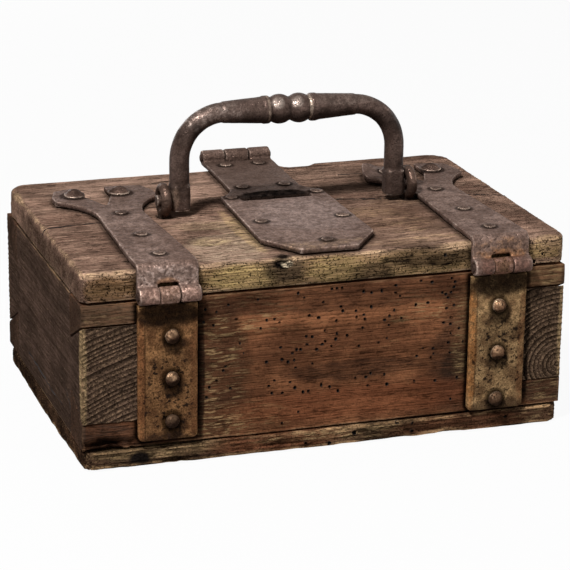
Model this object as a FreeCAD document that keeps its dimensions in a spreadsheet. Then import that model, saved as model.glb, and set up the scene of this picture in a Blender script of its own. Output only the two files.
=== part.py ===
"""Iron-bound offering box: dovetailed boards, a strap-hinged lid with a coin slot, a bail and a hasp."""
import FreeCAD, Part
import math
import os

import Sketcher
from FreeCAD import Placement, Rotation, Vector

doc = FreeCAD.newDocument("offering_box")
dims = doc.addObject("Spreadsheet::Sheet", "dims")

# Driving dimensions in millimetres; the origin is the middle of the base's underside.
SIZES = (
    # boards
    ("box_width", 290.0),
    ("box_depth", 194.0),
    ("base_thickness", 12.0),
    ("base_lip", 2.0),
    ("base_corner", 9.0),
    ("base_round", 2.5),
    ("wall_height", 85.5),
    ("end_board", 36.0),
    ("long_board", 27.0),
    ("tail_low", 15.0),
    ("tail_high", 12.5),
    ("tail_slope", 13.5),
    ("lid_thickness", 18.0),
    ("lid_gap", 0.4),
    ("lid_corner_front", 7.0),
    ("lid_corner_back", 14.0),
    ("lid_round", 4.0),
    ("chip_left", 31.0),
    ("chip_right", 57.0),
    ("chip_depth", 7.0),
    # iron stock and hinge barrels
    ("iron", 3.6),
    ("bend_radius", 1.5),
    ("iron_edge", 0.8),
    ("barrel_radius", 5.0),
    ("barrel_clear", 0.4),
    ("barrel_slit", 1.0),
    ("pin_radius", 2.2),
    ("pin_fit", 0.05),
    ("pin_proud", 0.8),
    ("knuckle_play", 0.5),
    # strap hinges
    ("hinge_left_inset", 49.0),
    ("hinge_right_inset", 43.2),
    ("hinge_rise", 4.2),
    ("hinge_barrel", 35.4),
    ("hinge_knuckle", 11.8),
    ("strap_front_half", 17.7),
    ("strap_half", 14.2),
    ("flare_start", 2.0),
    ("flare_end", 36.0),
    ("flare_radius", 44.0),
    ("fishtail_half", 31.5),
    ("fishtail_tip", 46.0),
    ("fishtail_shoulder", 27.5),
    ("fishtail_back", 59.0),
    ("notch_back", 63.0),
    ("notch_half", 8.5),
    ("fishtail_lean", 4.0),
    ("notch_knee", 44.0),
    ("notch_root", 21.0),
    ("plate_half", 17.4),
    ("plate_top", 2.0),
    ("plate_left_foot", 3.5),
    ("plate_right_foot", 1.0),
    ("plate_corner", 3.0),
    # slot plate
    ("hasp_x", 5.4),
    ("shield_lean", 2.6),
    ("shield_half", 32.4),
    ("shield_low_left_half", 36.5),
    ("shield_tip_left_half", 20.0),
    ("shield_neck", 22.3),
    ("shield_shoulder", 35.0),
    ("shield_top", 21.0),
    ("shield_flare", 24.0),
    ("shield_low_inset", 27.0),
    ("shield_tip_half", 14.0),
    ("shield_tip_inset", 2.0),
    ("slot_half_length", 21.8),
    ("slot_half_width", 4.0),
    ("slot_place", 12.5),
    ("slot_relief", 1.0),
    # hasp and its fixed eye
    ("hasp_set_back", 7.5),
    ("hasp_knuckle", 16.0),
    ("hasp_half", 15.0),
    ("hasp_foot_half", 10.5),
    ("hasp_neck", 8.5),
    ("hasp_shoulder", 17.0),
    ("hasp_length", 62.0),
    ("lock_reach", 8.0),
    ("lock_hole", 3.6),
    ("lock_rim", 9.0),
    ("lock_gap", 0.5),
    ("eye_tang_half", 6.0),
    ("eye_tang_depth", 21.0),
    # bail handle and its eyes
    ("handle_x", 6.6),
    ("handle_y", 2.0),
    ("pivot_rise", 9.2),
    ("leg_inset", 77.8),
    ("leg_radius", 6.1),
    ("leg_foot", 6.4),
    ("leg_foot_top", 9.0),
    ("leg_foot_corner", 3.5),
    ("grip_rise", 50.8),
    ("bend_reach", 27.0),
    ("grip_end", 41.0),
    ("grip_end_radius", 6.6),
    ("grip_radius", 8.1),
    ("collar_out", 16.5),
    ("collar_in", 13.0),
    ("collar_radius", 8.5),
    ("bead_out", 11.6),
    ("bead_in", 0.5),
    ("bead_root", 7.2),
    ("bead_bulge", 9.4),
    ("stub_radius", 3.7),
    ("stub_play", 0.4),
    ("stub_proud", 1.6),
    ("eye_bar", 3.2),
    ("eye_clear", 0.4),
    ("eye_shank", 6.6),
    ("eye_shank_thick", 6.0),
    ("eye_prong", 17.0),
    ("eye_prong_thick", 2.4),
    # nails
    ("nail_shank", 1.9),
    ("nail_fit", 0.05),
    ("flat_head", 4.4),
    ("flat_height", 1.3),
    ("rose_rim", 8.0),
    ("rose_rim_height", 1.5),
    ("rose_rim_slope", 0.6),
    ("rose_dome", 5.2),
    ("rose_height", 5.6),
    ("dome_head", 5.0),
    ("dome_height", 4.8),
    ("clench_length", 9.0),
    ("clench_radius", 1.5),
    ("blind_margin", 2.5),
    ("strap_nail_rear", 1.5),
    ("strap_nail_middle", -43.5),
    ("strap_nail_inset", 14.5),
    ("rose_nail_x", 13.6),
    ("rose_nail_y", 45.0),
    ("plate_nail_top", 20.5),
    ("plate_nail_lean", 2.0),
    ("plate_nail_left", 70.4),
    ("plate_nail_right", 77.6),
    ("plate_nail_depth", 19.0),
    ("shield_nail_rear_x", 11.0),
    ("shield_nail_rear_inset", 7.5),
    ("shield_nail_neck_x", 13.5),
    ("shield_nail_neck_y", 37.5),
    ("shield_nail_slot_x", 27.0),
    ("shield_nail_slot_y", 16.5),
    ("shield_nail_low_x", 25.0),
    ("shield_nail_low_y", -37.0),
    ("shield_nail_tip_inset", 15.0),
    ("base_nail_head", 4.2),
    ("base_nail_sink", 1.8),
    ("base_nail_recess", 0.3),
    ("base_nail_point", 4.0),
    ("base_nail_depth", 26.0),
    ("base_nail_long_inset", 71.0),
    ("base_nail_end_inset", 53.0),
)
for row, (alias, size) in enumerate(SIZES, start=1):
    dims.set(f"A{row}", alias)
    dims.set(f"B{row}", str(size))
    dims.setAlias(f"B{row}", alias)
doc.recompute()

# Places that several pieces share, written as expressions of the sizes.
HALF_WIDTH = "(dims.box_width / 2)"
HALF_DEPTH = "(dims.box_depth / 2)"
WALL_TOP = "(dims.base_thickness + dims.wall_height)"
LID_LOW = f"({WALL_TOP} + dims.lid_gap)"
LID_TOP = f"({LID_LOW} + dims.lid_thickness)"
BORE = "(dims.pin_radius + dims.pin_fit)"
NAIL_HOLE = "(dims.nail_shank + dims.nail_fit)"
HINGE_Y = f"(-{HALF_DEPTH} - dims.barrel_clear - dims.barrel_radius)"
HINGE_Z = f"({WALL_TOP} + dims.hinge_rise)"
HASP_Y = f"({HALF_DEPTH} + dims.hasp_set_back)"
HASP_Z = f"({LID_TOP} + dims.barrel_radius)"
SLOT_X = "(dims.hasp_x - dims.shield_lean)"
LOCK_Y = f"({HASP_Y} + dims.lock_reach)"
LOCK_Z = f"({HASP_Z} - dims.hasp_length)"
PIVOT_Z = f"({LID_TOP} + dims.pivot_rise)"
EYE_MAJOR = "(dims.stub_radius + dims.eye_clear + dims.eye_bar)"
LEG_SPREAD = f"({HALF_WIDTH} - dims.leg_inset)"
EYE_OFFSET = f"({LEG_SPREAD} + dims.leg_radius + dims.stub_play + dims.eye_bar)"
CAVITY_X = f"({HALF_WIDTH} - dims.end_board)"
CAVITY_Y = f"({HALF_DEPTH} - dims.long_board)"
HINGE_LEFT = f"(dims.hinge_left_inset - {HALF_WIDTH})"
HINGE_RIGHT = f"({HALF_WIDTH} - dims.hinge_right_inset)"
SHIELD_TIP = f"(dims.shield_tip_inset - {HALF_DEPTH})"
SHIELD_LOW = f"(dims.shield_low_inset - {HALF_DEPTH})"


def value(expression):
    """Gives the number that an expression of the sheet's sizes stands for."""
    return float(dims.evalExpression(str(expression)))


def minus(expression):
    """Turns an expression to its negative."""
    return f"(-1 * {expression})"


def finished(feature, label):
    """Names a finished sub-part for its file."""
    feature.Label = label
    return feature


def new_body(name, place=("0", "0", "0")):
    """Starts a body at a place given as three expressions."""
    body = doc.addObject("PartDesign::Body", name)
    for axis, expression in zip("xyz", place):
        body.setExpression(f"Placement.Base.{axis}", expression)
    return body


def new_sketch(body, role, lift="0", across="0", up="0"):
    """Opens a sketch on one of the body's own planes, lifted along its normal and shifted in it."""
    plane = [feature for feature in body.Origin.OriginFeatures if feature.Role == role][0]
    sketch = body.newObject("Sketcher::SketchObject", f"{body.Name}_sketch")
    sketch.AttachmentSupport = [(plane, "")]
    sketch.MapMode = "FlatFace"
    sketch.setExpression("AttachmentOffset.Base.x", across)
    sketch.setExpression("AttachmentOffset.Base.y", up)
    sketch.setExpression("AttachmentOffset.Base.z", lift)
    return sketch


def hold(sketch, kind, geometry, point, expression):
    """Ties a point's distance from the sketch origin to an expression."""
    index = sketch.addConstraint(Sketcher.Constraint(kind, -1, 1, geometry, point, value(expression)))
    sketch.setExpression(f"Constraints[{index}]", expression)


def arc_between(start, end, radius, side):
    """Makes the short arc from start to end; side +1 puts its centre left of the way, -1 right."""
    middle = (start + end) / 2
    chord = end - start
    normal = Vector(-chord.y, chord.x, 0).normalize()
    centre = middle + normal * side * math.sqrt(radius ** 2 - (chord.Length / 2) ** 2)
    first, last = (start, end) if side > 0 else (end, start)
    begin = math.atan2(first.y - centre.y, first.x - centre.x)
    finish = math.atan2(last.y - centre.y, last.x - centre.x)
    return Part.ArcOfCircle(Part.Circle(centre, Vector(0, 0, 1), radius), begin, finish)


def draw_path(sketch, corners, arcs=None, closed=True):
    """Draws lines, and arcs where arcs gives (radius, side) for an edge, through corners of expressions."""
    arcs = arcs or {}
    points = [Vector(value(across), value(up), 0) for across, up in corners]
    count = len(points) if closed else len(points) - 1
    ends = []
    for edge in range(count):
        start = points[edge]
        end = points[(edge + 1) % len(points)]
        if edge in arcs:
            radius, side = arcs[edge]
            index = sketch.addGeometry(arc_between(start, end, value(radius), side), False)
            fixed = sketch.addConstraint(Sketcher.Constraint("Radius", index, value(radius)))
            sketch.setExpression(f"Constraints[{fixed}]", radius)
            ends.append((index, 1, 2) if side > 0 else (index, 2, 1))
        else:
            index = sketch.addGeometry(Part.LineSegment(start, end), False)
            ends.append((index, 1, 2))
    for edge in range(count if closed else count - 1):
        follower = ends[(edge + 1) % count]
        here = ends[edge]
        sketch.addConstraint(Sketcher.Constraint("Coincident", here[0], here[2], follower[0], follower[1]))
    for (across, up), (index, begin, _) in zip(corners, ends):
        hold(sketch, "DistanceX", index, begin, across)
        hold(sketch, "DistanceY", index, begin, up)
    if not closed:
        hold(sketch, "DistanceX", ends[-1][0], ends[-1][2], corners[-1][0])
        hold(sketch, "DistanceY", ends[-1][0], ends[-1][2], corners[-1][1])
    return sketch


def draw_box(sketch, left, low, right, high):
    """Draws an upright rectangle from four expressions."""
    return draw_path(sketch, [(left, low), (right, low), (right, high), (left, high)])


def draw_circles(sketch, centres, radius):
    """Draws equal circles at centres given as pairs of expressions."""
    for across, up in centres:
        centre = Vector(value(across), value(up), 0)
        index = sketch.addGeometry(Part.Circle(centre, Vector(0, 0, 1), value(radius)), False)
        hold(sketch, "DistanceX", index, 3, across)
        hold(sketch, "DistanceY", index, 3, up)
        fixed = sketch.addConstraint(Sketcher.Constraint("Radius", index, value(radius)))
        sketch.setExpression(f"Constraints[{fixed}]", radius)
    return sketch


def pad(sketch, length, symmetric=False, reverse=False):
    """Pads a sketch by an expression's length."""
    body = sketch.getParentGeoFeatureGroup()
    feature = body.newObject("PartDesign::Pad", f"{body.Name}_pad")
    feature.Profile = sketch
    feature.setExpression("Length", length)
    feature.SideType = "Symmetric" if symmetric else "One side"
    feature.Reversed = reverse
    doc.recompute()
    return feature


def cut(sketch, length, symmetric=False, reverse=False):
    """Pockets a sketch by an expression's length and makes sure that it removed something."""
    body = sketch.getParentGeoFeatureGroup()
    before = body.Shape.Volume
    feature = body.newObject("PartDesign::Pocket", f"{body.Name}_pocket")
    feature.Profile = sketch
    feature.setExpression("Length", length)
    feature.SideType = "Symmetric" if symmetric else "One side"
    feature.Reversed = reverse
    doc.recompute()
    if not body.Shape.Volume < before - 1e-6:
        raise ValueError(f"{body.Name}: a pocket removed nothing")
    return feature


def round_edges(base, test, radius):
    """Fillets the edges of a feature that pass a test."""
    body = base.getParentGeoFeatureGroup()
    names = [f"Edge{number}" for number, edge in enumerate(base.Shape.Edges, start=1) if test(edge)]
    feature = body.newObject("PartDesign::Fillet", f"{body.Name}_fillet")
    feature.Base = (base, names)
    feature.setExpression("Radius", radius)
    doc.recompute()
    return feature


def upright(edge):
    """Tells whether a straight edge runs along Z."""
    ends = [vertex.Point for vertex in edge.Vertexes]
    return len(ends) == 2 and abs(ends[0].z - ends[1].z) > 1 and (ends[0] - ends[1]).Length < abs(
        ends[0].z - ends[1].z) + 1e-6


def at_height(level):
    """Gives a test for edges that lie flat at one height."""
    return lambda edge: all(abs(vertex.Point.z - level) < 1e-4 for vertex in edge.Vertexes)


# Where the nails stand, each as a pair of expressions in the lid's plan.
STRAP_NAILS = [
    ("0", "dims.strap_nail_rear"),
    ("0", "dims.strap_nail_middle"),
    ("0", f"(dims.strap_nail_inset - {HALF_DEPTH})"),
]
ROSE_NAILS = [("dims.rose_nail_x", "dims.rose_nail_y"), ("-dims.rose_nail_x", "dims.rose_nail_y")]
PLATE_LEFT = "(dims.wall_height - dims.plate_left_foot)"
PLATE_RIGHT = "(dims.wall_height - dims.plate_right_foot)"
LEFT_LEAN = "(-dims.fishtail_lean)"
RIGHT_LEAN = "0"
SHIELD_NAILS = [
    ("dims.shield_nail_rear_x", f"({HALF_DEPTH} - dims.shield_nail_rear_inset)"),
    ("-dims.shield_nail_rear_x", f"({HALF_DEPTH} - dims.shield_nail_rear_inset)"),
    ("(dims.shield_nail_neck_x - dims.shield_lean)", "dims.shield_nail_neck_y"),
    ("(-dims.shield_nail_neck_x - dims.shield_lean)", "dims.shield_nail_neck_y"),
    ("(dims.shield_nail_slot_x - dims.shield_lean)", "dims.shield_nail_slot_y"),
    ("(-dims.shield_nail_slot_x - dims.shield_lean)", "dims.shield_nail_slot_y"),
    ("(dims.shield_nail_low_x - dims.shield_lean)", "dims.shield_nail_low_y"),
    ("(-dims.shield_nail_low_x - dims.shield_lean)", "dims.shield_nail_low_y"),
    ("(-dims.shield_lean)", f"(dims.shield_nail_tip_inset - {HALF_DEPTH})"),
]
BASE_LONG_X = (
    f"(dims.base_nail_long_inset - {HALF_WIDTH})",
    "0",
    f"({HALF_WIDTH} - dims.base_nail_long_inset)",
)
BASE_LONG_Y = f"({HALF_DEPTH} - dims.long_board / 2)"
BASE_END_X = f"({HALF_WIDTH} - dims.end_board / 2)"
BASE_END_Y = (f"(dims.base_nail_end_inset - {HALF_DEPTH})", f"({HALF_DEPTH} - dims.base_nail_end_inset)")


def shifted(places, across):
    """Moves nail places sideways to where their plate lies."""
    return [(f"({across} + {x})", y) for x, y in places]


def strap_holes(lean):
    """Lists the nails of one hinge strap, with the fishtail's pair leaning to one side."""
    return STRAP_NAILS + shifted(ROSE_NAILS, lean)


def shield_outline():
    """Lists the shield's corners, fuller to the left below and leaning from the neck, and its arcs."""
    top = ("dims.shield_half", "dims.shield_top")
    shoulder = ("dims.shield_neck", "dims.shield_shoulder")
    right = [("dims.shield_tip_half", SHIELD_TIP), ("dims.shield_half", SHIELD_LOW), top, shoulder]
    low = ("dims.shield_low_left_half", SHIELD_LOW)
    left = [shoulder, top, low, ("dims.shield_tip_left_half", SHIELD_TIP)]
    corners = [(f"({x} - dims.shield_lean)", y) for x, y in right]
    corners += [("dims.shield_neck", HALF_DEPTH), ("dims.shield_neck", HASP_Y)]
    corners += [("-dims.shield_neck", HASP_Y), ("-dims.shield_neck", HALF_DEPTH)]
    corners += [(f"(-{x} - dims.shield_lean)", y) for x, y in left]
    return corners, {2: ("dims.shield_flare", -1), 8: ("dims.shield_flare", -1)}


def plate_nails(last):
    """Lists the three nails of a lower hinge plate as drops below the walls' top."""
    return ["dims.plate_nail_top", f"((dims.plate_nail_top + {last}) / 2)", last]


def plate_lean(last):
    """Gives how far a lower plate's nails stand off its middle; only the left plate's do."""
    return "dims.plate_nail_lean" if last == "dims.plate_nail_left" else "0"


def base_board():
    """The bottom board, a little proud at the hinge side, with sunk places for the nails' heads."""
    body = new_body("base_board")
    sketch = draw_box(new_sketch(body, "XY_Plane"), minus(HALF_WIDTH), f"(-{HALF_DEPTH} - dims.base_lip)",
                      HALF_WIDTH, HALF_DEPTH)
    block = pad(sketch, "dims.base_thickness")
    block = round_edges(block, upright, "dims.base_corner")
    round_edges(block, at_height(value("dims.base_thickness")), "dims.base_round")
    places = [(x, y) for x in BASE_LONG_X for y in (minus(BASE_LONG_Y), BASE_LONG_Y)]
    places += [(x, y) for x in (minus(BASE_END_X), BASE_END_X) for y in BASE_END_Y]
    cut(draw_circles(new_sketch(body, "XY_Plane"), places, NAIL_HOLE), "dims.base_thickness", reverse=True)
    cut(draw_circles(new_sketch(body, "XY_Plane"), places, "(dims.base_nail_head + dims.nail_fit)"),
        "dims.base_nail_sink", reverse=True)
    return body, places


def end_board(label, side):
    """A short wall with one broad dovetail at each end; side is -1 for left and +1 for right."""
    place = (f"({side} * ({HALF_WIDTH} - dims.end_board / 2))", "0", "0")
    body = new_body(label, place)
    inner = CAVITY_Y
    low = "(dims.base_thickness + dims.tail_low)"
    high = f"({WALL_TOP} - dims.tail_high)"
    low_in = f"({low} + dims.tail_slope)"
    high_in = f"({high} - dims.tail_slope)"
    corners = [
        (minus(inner), "dims.base_thickness"), (inner, "dims.base_thickness"), (inner, low_in),
        (HALF_DEPTH, low), (HALF_DEPTH, high), (inner, high_in), (inner, WALL_TOP),
        (minus(inner), WALL_TOP), (minus(inner), high_in), (minus(HALF_DEPTH), high),
        (minus(HALF_DEPTH), low), (minus(inner), low_in),
    ]
    pad(draw_path(new_sketch(body, "YZ_Plane"), corners), "dims.end_board", symmetric=True)
    holes = [("0", y) for y in BASE_END_Y]
    sketch = new_sketch(body, "XY_Plane", lift="dims.base_thickness")
    cut(draw_circles(sketch, holes, NAIL_HOLE), "dims.base_nail_depth", reverse=True)
    return finished(body, label)


def long_board(label, side):
    """A long wall cut at its ends to take the dovetails; side is -1 for the hinge side, +1 for the hasp's."""
    body = new_body(label)
    outer = f"({side} * {HALF_DEPTH})"
    inner = f"({side} * {CAVITY_Y})"
    near, far = (outer, inner) if side < 0 else (inner, outer)
    pad(draw_box(new_sketch(body, "YZ_Plane"), near, "dims.base_thickness", far, WALL_TOP),
        "dims.box_width", symmetric=True)
    low = "(dims.base_thickness + dims.tail_low)"
    high = f"({WALL_TOP} - dims.tail_high)"
    tail = [(outer, low), (outer, high), (inner, f"({high} - dims.tail_slope)"),
            (inner, f"({low} + dims.tail_slope)")]
    for start in (HALF_WIDTH, minus(CAVITY_X)):
        cut(draw_path(new_sketch(body, "YZ_Plane", lift=start), tail), "dims.end_board")
    middle = f"({side} * {BASE_LONG_Y})"
    sketch = new_sketch(body, "XY_Plane", lift="dims.base_thickness")
    draw_circles(sketch, [(x, middle) for x in BASE_LONG_X], NAIL_HOLE)
    cut(sketch, "dims.base_nail_depth", reverse=True)
    return finished(body, label)


def hinge_side_board():
    """The long wall under the hinges, bored for the lower plates' nails."""
    body = long_board("hinge_side_board", -1)
    for across, last in ((HINGE_LEFT, "dims.plate_nail_left"), (HINGE_RIGHT, "dims.plate_nail_right")):
        holes = [(f"({across} + {plate_lean(last)})", f"({WALL_TOP} - {drop})") for drop in plate_nails(last)]
        sketch = draw_circles(new_sketch(body, "XZ_Plane", lift=HALF_DEPTH), holes, NAIL_HOLE)
        cut(sketch, "dims.plate_nail_depth")
    return body


def hasp_side_board():
    """The far long wall, mortised for the tang of the hasp's fixed eye."""
    body = long_board("hasp_side_board", 1)
    top = f"({LOCK_Z} - dims.lock_gap + dims.nail_fit)"
    low = f"({top} - dims.iron - 2 * dims.nail_fit)"
    half = "(dims.eye_tang_half + dims.nail_fit)"
    sketch = new_sketch(body, "XZ_Plane", lift=minus(HALF_DEPTH))
    draw_box(sketch, f"(dims.hasp_x - {half})", low, f"(dims.hasp_x + {half})", top)
    cut(sketch, "(dims.eye_tang_depth + dims.nail_fit)", reverse=True)
    return body


def lid_board():
    """The lid, rounded by wear, with a chipped far edge, the coin slot, nail holes and eye mortises."""
    body = new_body("lid_board", ("0", "0", LID_LOW))
    sketch = new_sketch(body, "XY_Plane")
    draw_box(sketch, minus(HALF_WIDTH), minus(HALF_DEPTH), HALF_WIDTH, HALF_DEPTH)
    block = pad(sketch, "dims.lid_thickness")
    front_edge = lambda edge: upright(edge) and edge.Vertexes[0].Point.y < 0
    back_edge = lambda edge: upright(edge) and edge.Vertexes[0].Point.y > 0 and on_corner(edge)
    block = round_edges(block, front_edge, "dims.lid_corner_front")
    block = round_edges(block, back_edge, "dims.lid_corner_back")
    round_edges(block, at_height(value("dims.lid_thickness")), "dims.lid_round")
    low = f"({HALF_DEPTH} - dims.chip_depth)"
    high = f"({HALF_DEPTH} + dims.chip_depth)"
    chip = [("(dims.chip_left + dims.chip_depth / 2)", low), ("(dims.chip_right - dims.chip_depth)", low),
            ("(dims.chip_right + dims.chip_depth)", high), ("(dims.chip_left - dims.chip_depth / 2)", high)]
    cut(draw_path(new_sketch(body, "XY_Plane"), chip), "dims.lid_thickness", reverse=True)
    long_half = "(dims.slot_half_length + dims.slot_relief)"
    wide_half = "(dims.slot_half_width + dims.slot_relief)"
    sketch = draw_box(new_sketch(body, "XY_Plane"), f"({SLOT_X} - {long_half})",
                      f"(dims.slot_place - {wide_half})", f"({SLOT_X} + {long_half})",
                      f"(dims.slot_place + {wide_half})")
    cut(sketch, "dims.lid_thickness", reverse=True)
    holes = shifted(strap_holes(LEFT_LEAN), HINGE_LEFT) + shifted(SHIELD_NAILS, "dims.hasp_x")
    holes += shifted(strap_holes(RIGHT_LEAN), HINGE_RIGHT)
    through = [hole for hole in holes if over_cavity(hole)]
    blind = [hole for hole in holes if not over_cavity(hole)]
    cut(draw_circles(new_sketch(body, "XY_Plane"), through, NAIL_HOLE), "dims.lid_thickness", reverse=True)
    cut(draw_circles(new_sketch(body, "XY_Plane", lift="dims.lid_thickness"), blind, NAIL_HOLE),
        "(dims.lid_thickness - dims.blind_margin)")
    for side in (-1, 1):
        middle = f"(dims.handle_x + {side} * {EYE_OFFSET})"
        cut_eye_mortise(body, middle)
    return finished(body, "lid_board")


def on_corner(edge):
    """Tells whether an upright edge stands at the lid's full width and depth."""
    point = edge.Vertexes[0].Point
    return abs(abs(point.x) - value(HALF_WIDTH)) < 1e-4 and abs(abs(point.y) - value(HALF_DEPTH)) < 1e-4


def over_cavity(hole):
    """Tells whether a nail through the lid comes out clear of the walls and can be clenched."""
    margin = value("dims.clench_length") + 1
    return abs(value(hole[0])) < value(CAVITY_X) - 2 and abs(value(hole[1])) < value(CAVITY_Y) - margin


def cut_eye_mortise(body, middle):
    """Cuts the lid for a handle eye: a seat for the ring's foot and a way through for its shank."""
    thick = "(dims.eye_shank_thick / 2 + dims.nail_fit)"
    wide = "(dims.eye_shank / 2 + dims.nail_fit)"
    sketch = draw_box(new_sketch(body, "XY_Plane"), f"({middle} - {thick})", f"(dims.handle_y - {wide})",
                      f"({middle} + {thick})", f"(dims.handle_y + {wide})")
    cut(sketch, "dims.lid_thickness", reverse=True)
    outer = f"({EYE_MAJOR} + dims.eye_bar)"
    chord = f"(sqrt({outer} ^ 2 - dims.pivot_rise ^ 2) + 4 * dims.nail_fit)"
    seat = "(dims.eye_bar + dims.nail_fit)"
    sketch = draw_box(new_sketch(body, "XY_Plane", lift="dims.lid_thickness"), f"({middle} - {seat})",
                      f"(dims.handle_y - {chord})", f"({middle} + {seat})", f"(dims.handle_y + {chord})")
    cut(sketch, f"({outer} - dims.pivot_rise + dims.nail_fit)")


def hinge_strap(label, across, lean):
    """The lid leaf of a strap hinge: fishtail on the lid, turned down over the edge into two knuckles."""
    body = new_body(label, (across, "0", LID_TOP))
    front = f"(-{HALF_DEPTH} + dims.bend_radius)"
    back = f"({front} + 4 * dims.iron)"
    half = "dims.strap_front_half"
    wide = "dims.fishtail_half"
    arm = [
        (half, front), (half, back), ("dims.strap_half", "dims.flare_start"), (wide, "dims.flare_end"),
        (wide, "dims.fishtail_tip"), ("dims.fishtail_shoulder", "dims.fishtail_back"),
    ]
    notch_right = f"({lean} + dims.notch_half)"
    notch_left = f"({lean} - dims.notch_half)"
    notch = [
        (notch_right, "dims.notch_back"), (notch_right, "dims.notch_knee"), (lean, "dims.notch_root"),
        (notch_left, "dims.notch_knee"), (notch_left, "dims.notch_back"),
    ]
    corners = arm + notch + [(minus(x), y) for x, y in reversed(arm)]
    arcs = {2: ("dims.flare_radius", -1), 13: ("dims.flare_radius", -1)}
    pad(draw_path(new_sketch(body, "XY_Plane"), corners, arcs), "dims.iron")
    face = minus(HALF_DEPTH)
    outside = f"({face} - dims.iron)"
    bend = minus("dims.bend_radius")
    axle = "(dims.hinge_rise - dims.lid_gap - dims.lid_thickness)"
    profile = [(back, "0"), (back, "dims.iron"), (front, "dims.iron"), (outside, bend), (outside, axle),
               (face, axle), (face, bend), (front, "0")]
    turns = {2: ("(dims.bend_radius + dims.iron)", 1), 6: ("dims.bend_radius", -1)}
    pad(draw_path(new_sketch(body, "YZ_Plane"), profile, turns), f"(2 * {half})", symmetric=True)
    eye = [(HINGE_Y, axle)]
    barrel = draw_circles(new_sketch(body, "YZ_Plane"), eye, "dims.barrel_radius")
    pad(barrel, "dims.hinge_barrel", symmetric=True)
    gap = "(dims.barrel_radius + dims.barrel_slit)"
    sketch = draw_box(new_sketch(body, "YZ_Plane"), f"({HINGE_Y} - {gap})", f"({axle} - {gap})",
                      f"({HINGE_Y} + {gap})", f"({axle} + {gap})")
    cut(sketch, "dims.hinge_knuckle", symmetric=True)
    cut(draw_circles(new_sketch(body, "YZ_Plane"), eye, BORE), "(2 * dims.hinge_barrel)", symmetric=True)
    holes = draw_circles(new_sketch(body, "XY_Plane"), strap_holes(lean), NAIL_HOLE)
    cut(holes, "dims.iron", reverse=True)
    return finished(body, label)


def hinge_plate(label, across, length, last):
    """The lower leaf of a strap hinge, nailed to the wall, with the middle knuckle."""
    body = new_body(label, (across, minus(HALF_DEPTH), WALL_TOP))
    half = "dims.plate_half"
    block = pad(draw_box(new_sketch(body, "XZ_Plane"), minus(half), minus(length), half, "-dims.plate_top"),
                "dims.iron")
    bottom = -value(length)
    foot = lambda edge: along_y(edge) and all(abs(vertex.Point.z - bottom) < 1e-4 for vertex in edge.Vertexes)
    block = round_edges(block, foot, "dims.plate_corner")
    outer = lambda edge: all(abs(vertex.Point.y + value("dims.iron")) < 1e-4 for vertex in edge.Vertexes)
    round_edges(block, outer, "dims.iron_edge")
    neck = "((dims.hinge_knuckle - dims.knuckle_play) / 2)"
    sketch = new_sketch(body, "XZ_Plane", lift="dims.barrel_clear")
    draw_box(sketch, minus(neck), "(-2 * dims.plate_top)", neck, "dims.hinge_rise")
    pad(sketch, "(dims.iron - dims.barrel_clear)")
    eye = [("(-dims.barrel_clear - dims.barrel_radius)", "dims.hinge_rise")]
    pad(draw_circles(new_sketch(body, "YZ_Plane"), eye, "dims.barrel_radius"),
        "(dims.hinge_knuckle - dims.knuckle_play)", symmetric=True)
    cut(draw_circles(new_sketch(body, "YZ_Plane"), eye, BORE), "(2 * dims.hinge_barrel)", symmetric=True)
    holes = [(plate_lean(last), minus(drop)) for drop in plate_nails(last)]
    cut(draw_circles(new_sketch(body, "XZ_Plane"), holes, NAIL_HOLE), "dims.iron", reverse=True)
    return finished(body, label)


def along_y(edge):
    """Tells whether a straight edge runs along Y."""
    ends = [vertex.Point for vertex in edge.Vertexes]
    return len(ends) == 2 and abs(ends[0].y - ends[1].y) > 1 and (ends[0] - ends[1]).Length < abs(
        ends[0].y - ends[1].y) + 1e-6


def barrel_pin(label, across, along, height, length):
    """The pin of a hinge barrel, a plain rod a little longer than the barrel."""
    rod = doc.addObject("Part::Cylinder", label)
    total = f"({length} + 2 * dims.pin_proud)"
    rod.setExpression("Radius", "dims.pin_radius")
    rod.setExpression("Height", total)
    rod.Placement = Placement(Vector(), Rotation(Vector(0, 1, 0), 90))
    rod.setExpression("Placement.Base.x", f"{across} - {total} / 2")
    rod.setExpression("Placement.Base.y", along)
    rod.setExpression("Placement.Base.z", height)
    return finished(rod, label)


def slot_plate():
    """The shield plate round the coin slot, drawn out to the far edge and rolled into two knuckles."""
    body = new_body("slot_plate", ("dims.hasp_x", "0", LID_TOP))
    corners, arcs = shield_outline()
    pad(draw_path(new_sketch(body, "XY_Plane"), corners, arcs), "dims.iron")
    eye = [(HASP_Y, "dims.barrel_radius")]
    pad(draw_circles(new_sketch(body, "YZ_Plane"), eye, "dims.barrel_radius"), "(2 * dims.shield_neck)",
        symmetric=True)
    gap = "(dims.barrel_radius + dims.barrel_slit)"
    sketch = draw_box(new_sketch(body, "YZ_Plane"), f"({HASP_Y} - {gap})", f"(dims.barrel_radius - {gap})",
                      f"({HASP_Y} + {gap})", f"(dims.barrel_radius + {gap})")
    cut(sketch, "dims.hasp_knuckle", symmetric=True)
    cut(draw_circles(new_sketch(body, "YZ_Plane"), eye, BORE), "(4 * dims.shield_neck)", symmetric=True)
    sketch = draw_box(new_sketch(body, "XY_Plane"), "(-dims.slot_half_length - dims.shield_lean)",
                      "(dims.slot_place - dims.slot_half_width)",
                      "(dims.slot_half_length - dims.shield_lean)",
                      "(dims.slot_place + dims.slot_half_width)")
    cut(sketch, "dims.iron", reverse=True)
    cut(draw_circles(new_sketch(body, "XY_Plane"), SHIELD_NAILS, NAIL_HOLE), "dims.iron", reverse=True)
    return finished(body, "slot_plate")


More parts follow.
